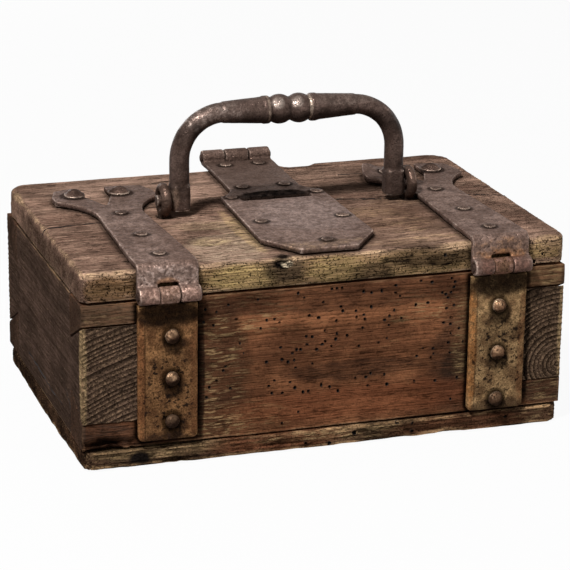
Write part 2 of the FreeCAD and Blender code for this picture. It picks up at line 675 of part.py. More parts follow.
def hasp():
    """The hasp on the far side: a knuckle, a tapering leaf and a foot turned out with the lock hole."""
    body = new_body("hasp", ("dims.hasp_x", HASP_Y, HASP_Z))
    knuckle = "(dims.hasp_knuckle - dims.knuckle_play)"
    axle = [("0", "0")]
    pad(draw_circles(new_sketch(body, "YZ_Plane"), axle, "dims.barrel_radius"), knuckle, symmetric=True)
    right = [
        (f"({knuckle} / 2)", "0"),
        (f"({knuckle} / 2)", "-dims.hasp_neck"),
        ("dims.hasp_half", "-dims.hasp_shoulder"),
        ("dims.hasp_foot_half", "-dims.hasp_length"),
    ]
    corners = right + [(minus(x), y) for x, y in reversed(right)]
    inner = "(dims.barrel_radius - dims.iron)"
    pad(draw_path(new_sketch(body, "XZ_Plane", lift=inner), corners), "dims.iron")
    reach = "dims.lock_reach"
    rim = "dims.lock_rim"
    low = "-dims.hasp_length"
    lock = [("0", reach)]
    foot = draw_box(new_sketch(body, "XY_Plane", lift=low), minus(rim), "-dims.barrel_radius", rim, reach)
    pad(foot, "dims.iron")
    pad(draw_circles(new_sketch(body, "XY_Plane", lift=low), lock, rim), "dims.iron")
    bore = draw_circles(new_sketch(body, "YZ_Plane"), axle, BORE)
    cut(bore, "(2 * dims.hasp_knuckle)", symmetric=True)
    hole = draw_circles(new_sketch(body, "XY_Plane", lift=low), lock, "dims.lock_hole")
    cut(hole, "dims.iron", reverse=True)
    return finished(body, "hasp")


def hasp_eye():
    """The fixed eye under the hasp's foot, a flat tongue on a tang let into the far wall."""
    top = f"({LOCK_Z} - dims.lock_gap)"
    body = new_body("hasp_eye", ("dims.hasp_x", HALF_DEPTH, f"({top} - dims.iron)"))
    reach = f"({LOCK_Y} - {HALF_DEPTH})"
    rim = "dims.lock_rim"
    pad(draw_box(new_sketch(body, "XY_Plane"), minus(rim), "0", rim, reach), "dims.iron")
    pad(draw_circles(new_sketch(body, "XY_Plane"), [("0", reach)], rim), "dims.iron")
    tang = "dims.eye_tang_half"
    pad(draw_box(new_sketch(body, "XY_Plane"), minus(tang), "-dims.eye_tang_depth", tang, rim), "dims.iron")
    hole = draw_circles(new_sketch(body, "XY_Plane"), [("0", reach)], "dims.lock_hole")
    cut(hole, "dims.iron", reverse=True)
    return finished(body, "hasp_eye")


def handle():
    """The bail: a bent bar, squared feet, pivot stubs turned outward and a turned grip with two beads."""
    body = new_body("handle", ("dims.handle_x", "dims.handle_y", PIVOT_Z))
    rise = "dims.grip_rise"
    spread = LEG_SPREAD
    profile = [
        ("-dims.grip_end", "0"), ("dims.grip_end", "0"), ("dims.grip_end", "dims.grip_end_radius"),
        ("dims.collar_out", "dims.grip_radius"), ("dims.collar_out", "dims.collar_radius"),
        ("dims.collar_in", "dims.collar_radius"), ("dims.bead_out", "dims.bead_root"),
        ("dims.bead_in", "dims.bead_root"), ("-dims.bead_in", "dims.bead_root"),
        ("-dims.bead_out", "dims.bead_root"),
        ("-dims.collar_in", "dims.collar_radius"), ("-dims.collar_out", "dims.collar_radius"),
        ("-dims.collar_out", "dims.grip_radius"), ("-dims.grip_end", "dims.grip_end_radius"),
    ]
    beads = {6: ("dims.bead_bulge", 1), 8: ("dims.bead_bulge", 1)}
    sketch = draw_path(new_sketch(body, "XZ_Plane", up=rise), profile, beads)
    grip = body.newObject("PartDesign::Revolution", "handle_grip")
    grip.Profile = sketch
    grip.ReferenceAxis = (sketch, ["H_Axis"])
    grip.Angle = 360
    doc.recompute()
    bend = f"({spread} - dims.bend_reach)"
    turn = f"({rise} - dims.bend_reach)"
    run = [(minus(spread), "0"), (minus(spread), turn), (minus(bend), rise),
           (bend, rise), (spread, turn), (spread, "0")]
    arcs = {1: ("dims.bend_reach", -1), 3: ("dims.bend_reach", -1)}
    spine = draw_path(new_sketch(body, "XZ_Plane"), run, arcs, closed=False)
    section = draw_circles(new_sketch(body, "XY_Plane"), [(minus(spread), "0")], "dims.leg_radius")
    bail = body.newObject("PartDesign::AdditivePipe", "handle_bail")
    bail.Profile = section
    bail.Spine = spine
    doc.recompute()
    for side in (-1, 1):
        middle = f"({side} * {spread})"
        sketch = new_sketch(body, "XY_Plane", lift="-dims.leg_foot")
        draw_box(sketch, f"({middle} - dims.leg_radius)", "-dims.leg_radius", f"({middle} + dims.leg_radius)",
                 "dims.leg_radius")
        pad(sketch, "(dims.leg_foot + dims.leg_foot_top)")
    feet = body.Tip
    low = -value("dims.leg_foot")
    foot_edge = lambda edge: upright(edge) and min(vertex.Point.z for vertex in edge.Vertexes) < low + 1e-4
    round_edges(feet, foot_edge, "dims.leg_foot_corner")
    length = "(dims.stub_play + 2 * dims.eye_bar + dims.stub_proud + dims.leg_radius)"
    for side in (-1, 1):
        sketch = new_sketch(body, "YZ_Plane", lift=f"({side} * {spread})")
        pad(draw_circles(sketch, [("0", "0")], "dims.stub_radius"), length, reverse=side < 0)
    return finished(body, "handle")


def handle_eye(label, side):
    """A forged eye for the handle's stub: a ring on a shank through the lid, split and clenched below."""
    body = new_body(label, (f"(dims.handle_x + {side} * {EYE_OFFSET})", "dims.handle_y", PIVOT_Z))
    sketch = draw_circles(new_sketch(body, "XZ_Plane"), [("0", EYE_MAJOR)], "dims.eye_bar")
    ring = body.newObject("PartDesign::Revolution", f"{label}_ring")
    ring.Profile = sketch
    ring.ReferenceAxis = (sketch, ["H_Axis"])
    ring.Angle = 360
    doc.recompute()
    thick = "(dims.eye_shank_thick / 2)"
    wide = "(dims.eye_shank / 2)"
    depth = "(dims.pivot_rise + dims.lid_thickness)"
    sketch = new_sketch(body, "XY_Plane", lift=minus(EYE_MAJOR))
    draw_box(sketch, minus(thick), minus(wide), thick, wide)
    pad(sketch, f"({depth} + dims.eye_prong_thick - {EYE_MAJOR})", reverse=True)
    sketch = draw_box(new_sketch(body, "XY_Plane", lift=minus(depth)), minus(thick), "-dims.eye_prong", thick,
                      "dims.eye_prong")
    pad(sketch, "dims.eye_prong_thick", reverse=True)
    return finished(body, label)


def turned(profile, axis_point, axis):
    """Turns a closed profile of points about an axis into a solid."""
    face = Part.Face(Part.makePolygon(profile + [profile[0]]))
    return face.revolve(axis_point, axis, 360)


def dome_points(radius, height, base, steps=8):
    """Lists the points of a domed head's edge, from its rim to its crown."""
    points = []
    for step in range(steps + 1):
        angle = math.pi / 2 * step / steps
        points.append(Vector(radius * math.cos(angle), 0, base + height * math.sin(angle)))
    return points


def nail(head, length, clench):
    """Makes a nail with its head on height 0 and its shank below, the point bent over if clenched."""
    shank = value("dims.nail_shank")
    profile = [Vector(0, 0, -length), Vector(shank, 0, -length), Vector(shank, 0, 0)] + head
    solid = turned(profile, Vector(), Vector(0, 0, 1))
    if not clench:
        return solid
    radius = value("dims.clench_radius")
    tip = Vector(0, 0, radius - length)
    bent = Part.makeCylinder(radius, value("dims.clench_length"), tip, Vector(0, -1, 0))
    return solid.fuse(bent).removeSplitter().Solids[0]


def flat_head():
    """The edge of a low nail head beaten nearly flat."""
    return dome_points(value("dims.flat_head"), value("dims.flat_height"), 0)


def rose_head():
    """The edge of a large rose head: a broad rim and a raised dome."""
    rim = value("dims.rose_rim")
    level = value("dims.rose_rim_height")
    dome = dome_points(value("dims.rose_dome"), value("dims.rose_height") - level, level)
    return [Vector(rim, 0, 0), Vector(rim - value("dims.rose_rim_slope"), 0, level)] + dome


def dome_head():
    """The edge of a round domed nail head."""
    return dome_points(value("dims.dome_head"), value("dims.dome_height"), 0)


def group(label, solids):
    """Keeps like nails together as one sub-part of separate solids."""
    feature = doc.addObject("Part::Feature", label)
    feature.Shape = Part.Compound(solids)
    return finished(feature, label)


def lid_nails(label, places, head):
    """Nails driven through a plate on the lid, clenched below where the lid is over the cavity."""
    solids = []
    top = value(LID_TOP) + value("dims.iron")
    board = value("dims.lid_thickness")
    for place in places:
        clench = over_cavity(place)
        spare = 2 * value("dims.clench_radius") if clench else -value("dims.blind_margin")
        solid = nail(head, value("dims.iron") + board + spare, clench)
        solid.translate(Vector(value(place[0]), value(place[1]), top))
        solids.append(solid)
    return group(label, solids)


def plate_nail_group(label, across, last):
    """The three domed nails of a lower hinge plate."""
    solids = []
    for drop in plate_nails(last):
        solid = nail(dome_head(), value("dims.iron") + value("dims.plate_nail_depth"), False)
        solid.rotate(Vector(), Vector(1, 0, 0), 90)
        face = -value(HALF_DEPTH) - value("dims.iron")
        middle = value(across) + value(plate_lean(last))
        solid.translate(Vector(middle, face, value(WALL_TOP) - value(drop)))
        solids.append(solid)
    return group(label, solids)


def base_nail_group(places):
    """The nails that hold the bottom board, driven up into the walls with their heads sunk."""
    solids = []
    head = value("dims.base_nail_head")
    sink = value("dims.base_nail_sink")
    shank = value("dims.nail_shank")
    rise = value("dims.base_thickness") + value("dims.base_nail_depth")
    low = value("dims.base_nail_recess")
    rim = [Vector(0, 0, low), Vector(head, 0, low), Vector(head, 0, sink), Vector(shank, 0, sink)]
    profile = rim + [Vector(shank, 0, rise - value("dims.base_nail_point")), Vector(0, 0, rise)]
    for place in places:
        solid = turned(profile, Vector(), Vector(0, 0, 1))
        solid.translate(Vector(value(place[0]), value(place[1]), 0))
        solids.append(solid)
    return group("base_nails", solids)


def build():
    """Builds every sub-part and lists them."""
    base, base_places = base_board()
    left = HINGE_LEFT
    right = HINGE_RIGHT
    parts = [finished(base, "base_board"), base_nail_group(base_places)]
    parts += [end_board("left_end_board", -1), end_board("right_end_board", 1)]
    parts += [hinge_side_board(), hasp_side_board(), lid_board()]
    parts.append(hinge_strap("left_hinge_strap", left, LEFT_LEAN))
    parts.append(hinge_strap("right_hinge_strap", right, RIGHT_LEAN))
    parts.append(hinge_plate("left_hinge_plate", left, PLATE_LEFT, "dims.plate_nail_left"))
    parts.append(hinge_plate("right_hinge_plate", right, PLATE_RIGHT, "dims.plate_nail_right"))
    parts.append(barrel_pin("left_hinge_pin", left, HINGE_Y, HINGE_Z, "dims.hinge_barrel"))
    parts.append(barrel_pin("right_hinge_pin", right, HINGE_Y, HINGE_Z, "dims.hinge_barrel"))
    parts += [slot_plate(), hasp(), hasp_eye()]
    parts.append(barrel_pin("hasp_pin", "dims.hasp_x", HASP_Y, HASP_Z, "(2 * dims.shield_neck)"))
    parts += [handle(), handle_eye("left_handle_eye", -1), handle_eye("right_handle_eye", 1)]
    parts.append(lid_nails("left_strap_nails", shifted(STRAP_NAILS, left), flat_head()))
    parts.append(lid_nails("right_strap_nails", shifted(STRAP_NAILS, right), flat_head()))
    left_rose = shifted(shifted(ROSE_NAILS, LEFT_LEAN), left)
    right_rose = shifted(shifted(ROSE_NAILS, RIGHT_LEAN), right)
    shield = shifted(SHIELD_NAILS, "dims.hasp_x")
    parts.append(lid_nails("left_fishtail_nails", left_rose, rose_head()))
    parts.append(lid_nails("right_fishtail_nails", right_rose, rose_head()))
    parts.append(lid_nails("slot_plate_nails", shield, flat_head()))
    parts.append(plate_nail_group("left_plate_nails", left, "dims.plate_nail_left"))
    parts.append(plate_nail_group("right_plate_nails", right, "dims.plate_nail_right"))
    doc.recompute()
    return parts


def write(parts):
    """Checks every object and sub-part, then writes one file for each."""
    for feature in doc.Objects:
        if "Invalid" in feature.State or "Error" in feature.State:
            raise ValueError(f"{feature.Name} did not build: {feature.State}")
    os.makedirs("parts", exist_ok=True)
    for feature in parts:
        shape = feature.Shape
        if shape.isNull() or not shape.isValid():
            raise ValueError(f"{feature.Label} has no valid shape")
        shape.exportStep(f"parts/{feature.Label}.step")
        print(feature.Label, len(shape.Solids), round(shape.Volume / 1000, 2), "cm3")


write(build())
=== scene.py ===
"""Looks of an iron-bound offering box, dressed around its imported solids."""

import logging
import math
from dataclasses import dataclass
from enum import Enum

import bmesh
import bpy
import numpy as np
from mathutils import Matrix, Vector
from mathutils.bvhtree import BVHTree


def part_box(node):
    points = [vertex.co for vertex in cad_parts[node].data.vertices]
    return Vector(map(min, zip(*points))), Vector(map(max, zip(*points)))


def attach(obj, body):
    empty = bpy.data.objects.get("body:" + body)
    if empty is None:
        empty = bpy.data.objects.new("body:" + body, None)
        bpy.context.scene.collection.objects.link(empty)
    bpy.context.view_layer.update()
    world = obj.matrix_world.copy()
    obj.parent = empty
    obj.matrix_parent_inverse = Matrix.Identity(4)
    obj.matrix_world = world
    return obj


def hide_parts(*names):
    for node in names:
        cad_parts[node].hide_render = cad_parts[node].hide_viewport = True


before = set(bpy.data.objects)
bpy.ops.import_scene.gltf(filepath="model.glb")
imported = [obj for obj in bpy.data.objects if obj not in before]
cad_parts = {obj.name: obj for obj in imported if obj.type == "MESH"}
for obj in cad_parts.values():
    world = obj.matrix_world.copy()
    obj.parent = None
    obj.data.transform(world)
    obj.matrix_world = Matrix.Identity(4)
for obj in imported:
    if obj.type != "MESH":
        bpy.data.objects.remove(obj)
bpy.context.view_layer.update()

log = logging.getLogger("offering_box")
Array = np.ndarray
Rgb = tuple[int, int, int]
Point = tuple[float, float, float]
Socket = bpy.types.NodeSocket

MM = 0.001
MERGE_DISTANCE = 1e-6
TINY = 1e-9

# whole numbers that scatter the values of the noise's lattice
HASH_AXES = (374761393, 668265263, 1274126177)
HASH_SEED = 362437
HASH_ROUNDS = ((13, 1103515245), (15, 668265263))
HASH_WORD = 0xFFFFFFFF
HASH_PART = 0xFFFF
OCTAVE_SHIFT = 17.3
OCTAVE_SEED = 101


class Axis(Enum):
    """The direction that a grain or an edge runs in."""

    X = 0
    Y = 1
    Z = 2

    def across(self) -> tuple[int, int]:
        """The two other axes."""
        return tuple(index for index in range(3) if index != self.value)

    def stretch(self, across: float, along: float) -> Point:
        """One size along the axis and another across it."""
        return tuple(along if index == self.value else across for index in range(3))


class Ride(Enum):
    """The moving bodies of the box."""

    BOX = "box"
    LID = "lid"
    BAIL = "bail"
    HASP = "hasp_leaf"


class Way(Enum):
    """Whether a socket brings values into a node tree or takes them out."""

    IN = "INPUT"
    OUT = "OUTPUT"


def linear(colour: Rgb) -> tuple[float, float, float, float]:
    """Turns a display colour into scene light.

    Args:
        colour: Red, green and blue from 0 to 255.

    Returns:
        The linear colour with full alpha.
    """
    parts = [channel / 255 for channel in colour]
    return (*[c / 12.92 if c <= 0.04045 else ((c + 0.055) / 1.055) ** 2.4 for c in parts], 1.0)


def lattice(cell: Array, seed: int) -> Array:
    """Gives every lattice cell a fixed value.

    Args:
        cell: Whole-number cells, one row each.
        seed: Which field of values.

    Returns:
        Values from 0 to 1.
    """
    mixed = sum(cell[:, axis] * factor for axis, factor in enumerate(HASH_AXES))
    mixed = (mixed + seed * HASH_SEED) & HASH_WORD
    for shift, factor in HASH_ROUNDS:
        mixed = ((mixed ^ (mixed >> shift)) * factor) & HASH_WORD
    return ((mixed ^ (mixed >> 16)) & HASH_PART) / HASH_PART


def noise(points: Array, size: float | Point, seed: int, octaves: int = 1) -> Array:
    """Smooth noise at points.

    Args:
        points: Points in millimetres, one row each.
        size: Width of its lumps in millimetres, or one width for each axis.
        seed: Which field.
        octaves: How many finer layers are added.

    Returns:
        Values from 0 to 1.
    """
    total = np.zeros(len(points))
    weight = 0.0
    for octave in range(octaves):
        place = points / np.asarray(size, float) * 2.0**octave + OCTAVE_SHIFT * octave
        cell = np.floor(place).astype(np.int64)
        part = place - cell
        part = part * part * (3 - 2 * part)
        layer = np.zeros(len(points))
        for corner in range(8):
            step = np.array([corner & 1, corner >> 1 & 1, corner >> 2 & 1])
            share = np.prod(np.where(step, part, 1 - part), axis=1)
            layer += share * lattice(cell + step, seed + OCTAVE_SEED * octave)
        total += layer * 0.5**octave
        weight += 0.5**octave
    return total / weight


def smooth_step(low: float, high: float, value: Array) -> Array:
    """Eases from 0 at low to 1 at high."""
    share = np.clip((value - low) / (high - low), 0, 1)
    return share * share * (3 - 2 * share)


def points_of(mesh: bpy.types.Mesh) -> Array:
    """Reads a mesh's points.

    Args:
        mesh: The mesh.

    Returns:
        The points in millimetres, one row each.
    """
    flat = np.zeros(len(mesh.vertices) * 3)
    mesh.vertices.foreach_get("co", flat)
    return flat.reshape(-1, 3) / MM


def normals_of(mesh: bpy.types.Mesh) -> Array:
    """Reads a mesh's vertex normals.

    Args:
        mesh: The mesh.

    Returns:
        The normals, one row each.
    """
    flat = np.zeros(len(mesh.vertices) * 3, np.float32)
    mesh.vertex_normals.foreach_get("vector", flat)
    return flat.reshape(-1, 3).astype(float)


def move_points(mesh: bpy.types.Mesh, points: Array) -> None:
    """Puts the mesh's points at places in millimetres."""
    mesh.vertices.foreach_set("co", (points * MM).ravel())
    mesh.update()


def store(mesh: bpy.types.Mesh, name: str, values: Array) -> None:
    """Keeps one number for each point under a name that the materials read."""
    attribute = mesh.attributes.new(name, "FLOAT", "POINT")
    attribute.data.foreach_set("value", values.astype(np.float32))


def nearness(points: Array, nodes: tuple[str, ...], reach: float) -> Array:
    """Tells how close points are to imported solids.

    Args:
        points: Points in millimetres.
        nodes: Names of the solids.
        reach: How far the closeness is felt, in millimetres.

    Returns:
        From 0 at the reach to 1 on the solids.
    """
    near = np.zeros(len(points))
    for node in nodes:
        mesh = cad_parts[node].data
        faces = [tuple(face.vertices) for face in mesh.polygons]
        tree = BVHTree.FromPolygons([vertex.co / MM for vertex in mesh.vertices], faces)
        low, high = [np.array(corner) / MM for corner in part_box(node)]
        inside = np.flatnonzero(np.all((points > low - reach) & (points < high + reach), axis=1))
        for index in inside:
            away = tree.find_nearest(Vector(points[index]), reach)[3]
            if away is not None:
                near[index] = max(near[index], 1 - away / reach)
    return near


def new_object(name: str, mesh: bpy.types.Mesh) -> bpy.types.Object:
    """Puts a mesh into the scene.

    Args:
        name: The object's name.
        mesh: Its mesh.

    Returns:
        The new object.
    """
    piece = bpy.data.objects.new(name, mesh)
    bpy.context.scene.collection.objects.link(piece)
    return piece


def discard(piece: bpy.types.Object) -> None:
    """Takes a tool or a template out of the scene with its mesh.

    Args:
        piece: The tool or the template.
    """
    mesh = piece.data
    bpy.data.objects.remove(piece)
    bpy.data.meshes.remove(mesh)


def solid_copy(node: str) -> bpy.types.Object:
    """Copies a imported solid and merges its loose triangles.

    Args:
        node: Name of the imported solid.

    Returns:
        An object of its own with a closed mesh.
    """
    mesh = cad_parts[node].data.copy()
    mesh.name = f"{node}_piece"
    mesh.materials.clear()
    work = bmesh.new()
    work.from_mesh(mesh)
    bmesh.ops.remove_doubles(work, verts=work.verts, dist=MERGE_DISTANCE)
    work.to_mesh(mesh)
    work.free()
    for attribute in list(mesh.attributes):
        if attribute.name.startswith("custom") or attribute.name == "sharp_edge":
            mesh.attributes.remove(attribute)
    return new_object(f"{node}_piece", mesh)


def settle(piece: bpy.types.Object) -> None:
    """Turns what the piece's modifiers make into its plain mesh and removes them.

    Args:
        piece: The piece with its modifiers.
    """
    graph = bpy.context.evaluated_depsgraph_get()
    graph.update()
    result = bpy.data.meshes.new_from_object(piece.evaluated_get(graph))
    piece.modifiers.clear()
    old = piece.data
    name = old.name
    piece.data = result
    bpy.data.meshes.remove(old)
    result.name = name


def remesh(piece: bpy.types.Object, grid: float) -> None:
    """Rebuilds the piece as an even skin that can be worn down.

    Args:
        piece: The piece.
        grid: Width of a face in millimetres.
    """
    modifier = piece.modifiers.new("skin", "REMESH")
    modifier.mode = "VOXEL"
    modifier.voxel_size = grid * MM
    settle(piece)


def carve(piece: bpy.types.Object, cutter: bpy.types.Object) -> None:
    """Cuts a tool's shape out of the piece; the cut faces take the piece's second finish.

    Args:
        piece: The piece.
        cutter: The tool, which is discarded.
    """
    modifier = piece.modifiers.new("cut", "BOOLEAN")
    modifier.operation = "DIFFERENCE"
    modifier.solver = "MANIFOLD"
    modifier.object = cutter
    settle(piece)
    discard(cutter)


def skin(work: bmesh.types.BMesh, rows: list[list[bmesh.types.BMVert]]) -> None:
    """Joins rings of points, each to the next, to a tube with open ends.

    Args:
        work: The mesh that they are in.
        rows: The rings from end to end.
    """
    for here, there in zip(rows, rows[1:]):
        for step in range(len(here)):
            after = (step + 1) % len(here)
            work.faces.new((here[step], here[after], there[after], there[step]))


def close_ends(work: bmesh.types.BMesh, rows: list[list[bmesh.types.BMVert]]) -> None:
    """Closes a tube's two ends with flat faces.

    Args:
        work: The mesh that it is in.
        rows: Its rings from end to end.
    """
    work.faces.new(rows[0][::-1])
    work.faces.new(rows[-1])
    bmesh.ops.recalc_face_normals(work, faces=work.faces)


def soften(mesh: bpy.types.Mesh, angle: float) -> None:
    """Shades the mesh smooth, with creases above an angle in degrees."""
    mesh.polygons.foreach_set("use_smooth", [True] * len(mesh.polygons))
    mesh.set_sharp_from_angle(angle=math.radians(angle))


class NodeSheet:
    """Writes a node tree from short calls."""

    PREFIXES = ("GeometryNode", "FunctionNode", "NodeGroup", "ShaderNode")

    def __init__(self, tree: bpy.types.NodeTree) -> None:
        """Takes the tree to write."""
        self.tree = tree

    def node(self, kind: str, inputs: dict | None = None, **settings: object) -> bpy.types.Node:
        """Adds a node.

        Args:
            kind: The node's type without its prefix for shader nodes.
            inputs: Input names or numbers, each with a value or a socket to link.
            settings: Properties of the node.

        Returns:
            The new node.
        """
        prefix = "" if kind.startswith(self.PREFIXES) else "ShaderNode"
        made = self.tree.nodes.new(prefix + kind)
        for name, setting in settings.items():
            setattr(made, name, setting)
        for name, source in (inputs or {}).items():
            self.feed(made.inputs[name], source)
        return made

    def feed(self, socket: Socket, source: object) -> None:
        """Links a socket to another, or sets its value.

        Args:
            socket: The input.
            source: A socket or a value.
        """
        if isinstance(source, bpy.types.NodeSocket):
            self.tree.links.new(source, socket)
        else:
            socket.default_value = source

    def math(self, operation: str, first: object, second: object = 0.0) -> Socket:
        """Joins two numbers.

        Args:
            operation: The kind of sum.
            first: A number or a socket.
            second: A number or a socket.

        Returns:
            The result's socket.
        """
        return self.node("Math", {0: first, 1: second}, operation=operation).outputs[0]

    def times(self, first: object, second: object) -> Socket:
        """Multiplies two numbers."""
        return self.math("MULTIPLY", first, second)

    def plus(self, first: object, second: object) -> Socket:
        """Adds two numbers."""
        return self.math("ADD", first, second)

    def kept(self, name: str) -> Socket:
        """Reads a number that the mesh keeps for each point."""
        return self.node("Attribute", attribute_name=name).outputs["Fac"]

    def vector(self, operation: str, first: object, second: object = (0.0, 0.0, 0.0)) -> Socket:
        """Joins two vectors.

        Args:
            operation: The kind of sum.
            first: A vector or a socket.
            second: A vector or a socket.

        Returns:
            The result's socket.
        """
        made = self.node("VectorMath", {0: first, 1: second}, operation=operation)
        return made.outputs["Value" if operation == "LENGTH" else "Vector"]

    def ease(self, value: object, low: object, high: object, start: object = 0.0,
             end: object = 1.0) -> Socket:
        """Eases a number between two ends.

        Args:
            value: The number's socket.
            low: Where the ease begins.
            high: Where it ends.
            start: What it gives at the beginning.
            end: What it gives at the end.

        Returns:
            The result's socket.
        """
        inputs = {"Value": value, "From Min": low, "From Max": high, "To Min": start, "To Max": end}
        return self.node("MapRange", inputs, interpolation_type="SMOOTHSTEP").outputs["Result"]

    def speckle(self, place: object, scale: float, detail: float = 2.0,
                rough: float = 0.5) -> Socket:
        """Adds noise.

        Args:
            place: The place's socket.
            scale: How many lumps to a unit.
            detail: How many finer layers.
            rough: How strong these are.

        Returns:
            The noise's socket.
        """
        inputs = {"Vector": place, "Scale": scale, "Detail": detail, "Roughness": rough}
        return self.node("TexNoise", inputs).outputs[0]

    def blend(self, share: object, under: object, over: object) -> Socket:
        """Lays one colour over another.

        Args:
            share: How much of the upper colour.
            under: The lower colour.
            over: The upper colour.

        Returns:
            The joined colour's socket.
        """
        made = self.node("Mix", {0: share}, data_type="RGBA")
        colours = [socket for socket in made.inputs if socket.type == "RGBA"]
        for socket, colour in zip(colours, (under, over)):
            self.feed(socket, colour)
        return [socket for socket in made.outputs if socket.type == "RGBA"][0]

    def scaled(self, value: object, factor: object) -> Socket:
        """Makes a colour or a place larger or smaller by a factor."""
        made = self.node("VectorMath", {0: value, "Scale": factor}, operation="SCALE")
        return made.outputs["Vector"]


def plain_material(name: str) -> tuple[bpy.types.Material, NodeSheet, bpy.types.Node]:
    """Starts a material.

    Args:
        name: The material's name.

    Returns:
        The material, its sheet and the surface's shader node.
    """
    material = bpy.data.materials.new(name)
    material.use_nodes = True
    tree = material.node_tree
    return material, NodeSheet(tree), tree.nodes["Principled BSDF"]


def add_sockets(tree: bpy.types.NodeTree, way: Way, kinds: dict[str, str]) -> dict[str, str]:
    """Gives a node tree named sockets.

    Args:
        tree: The tree.
        way: Whether they are inputs or outputs.
        kinds: Names and kinds of the sockets.

    Returns:
        The sockets' identifiers by name.
    """
    made = {}
    for name, kind in kinds.items():
        socket = tree.interface.new_socket(name=name, in_out=way.value,
                                           socket_type=f"NodeSocket{kind}")
        made[name] = socket.identifier
    return made


def new_group(name: str, inputs: dict[str, str],
              outputs: dict[str, str]) -> tuple[NodeSheet, dict, dict]:
    """Starts a shader group with named sockets.

    Args:
        name: The group's name.
        inputs: Names and kinds of what it takes.
        outputs: Names and kinds of what it gives.

    Returns:
        The sheet to write on, what the group is given and what it gives.
    """
    tree = bpy.data.node_groups.new(name, "ShaderNodeTree")
    add_sockets(tree, Way.IN, inputs)
    add_sockets(tree, Way.OUT, outputs)
    sheet = NodeSheet(tree)
    given = sheet.node("NodeGroupInput").outputs
    return sheet, given, sheet.node("NodeGroupOutput").inputs


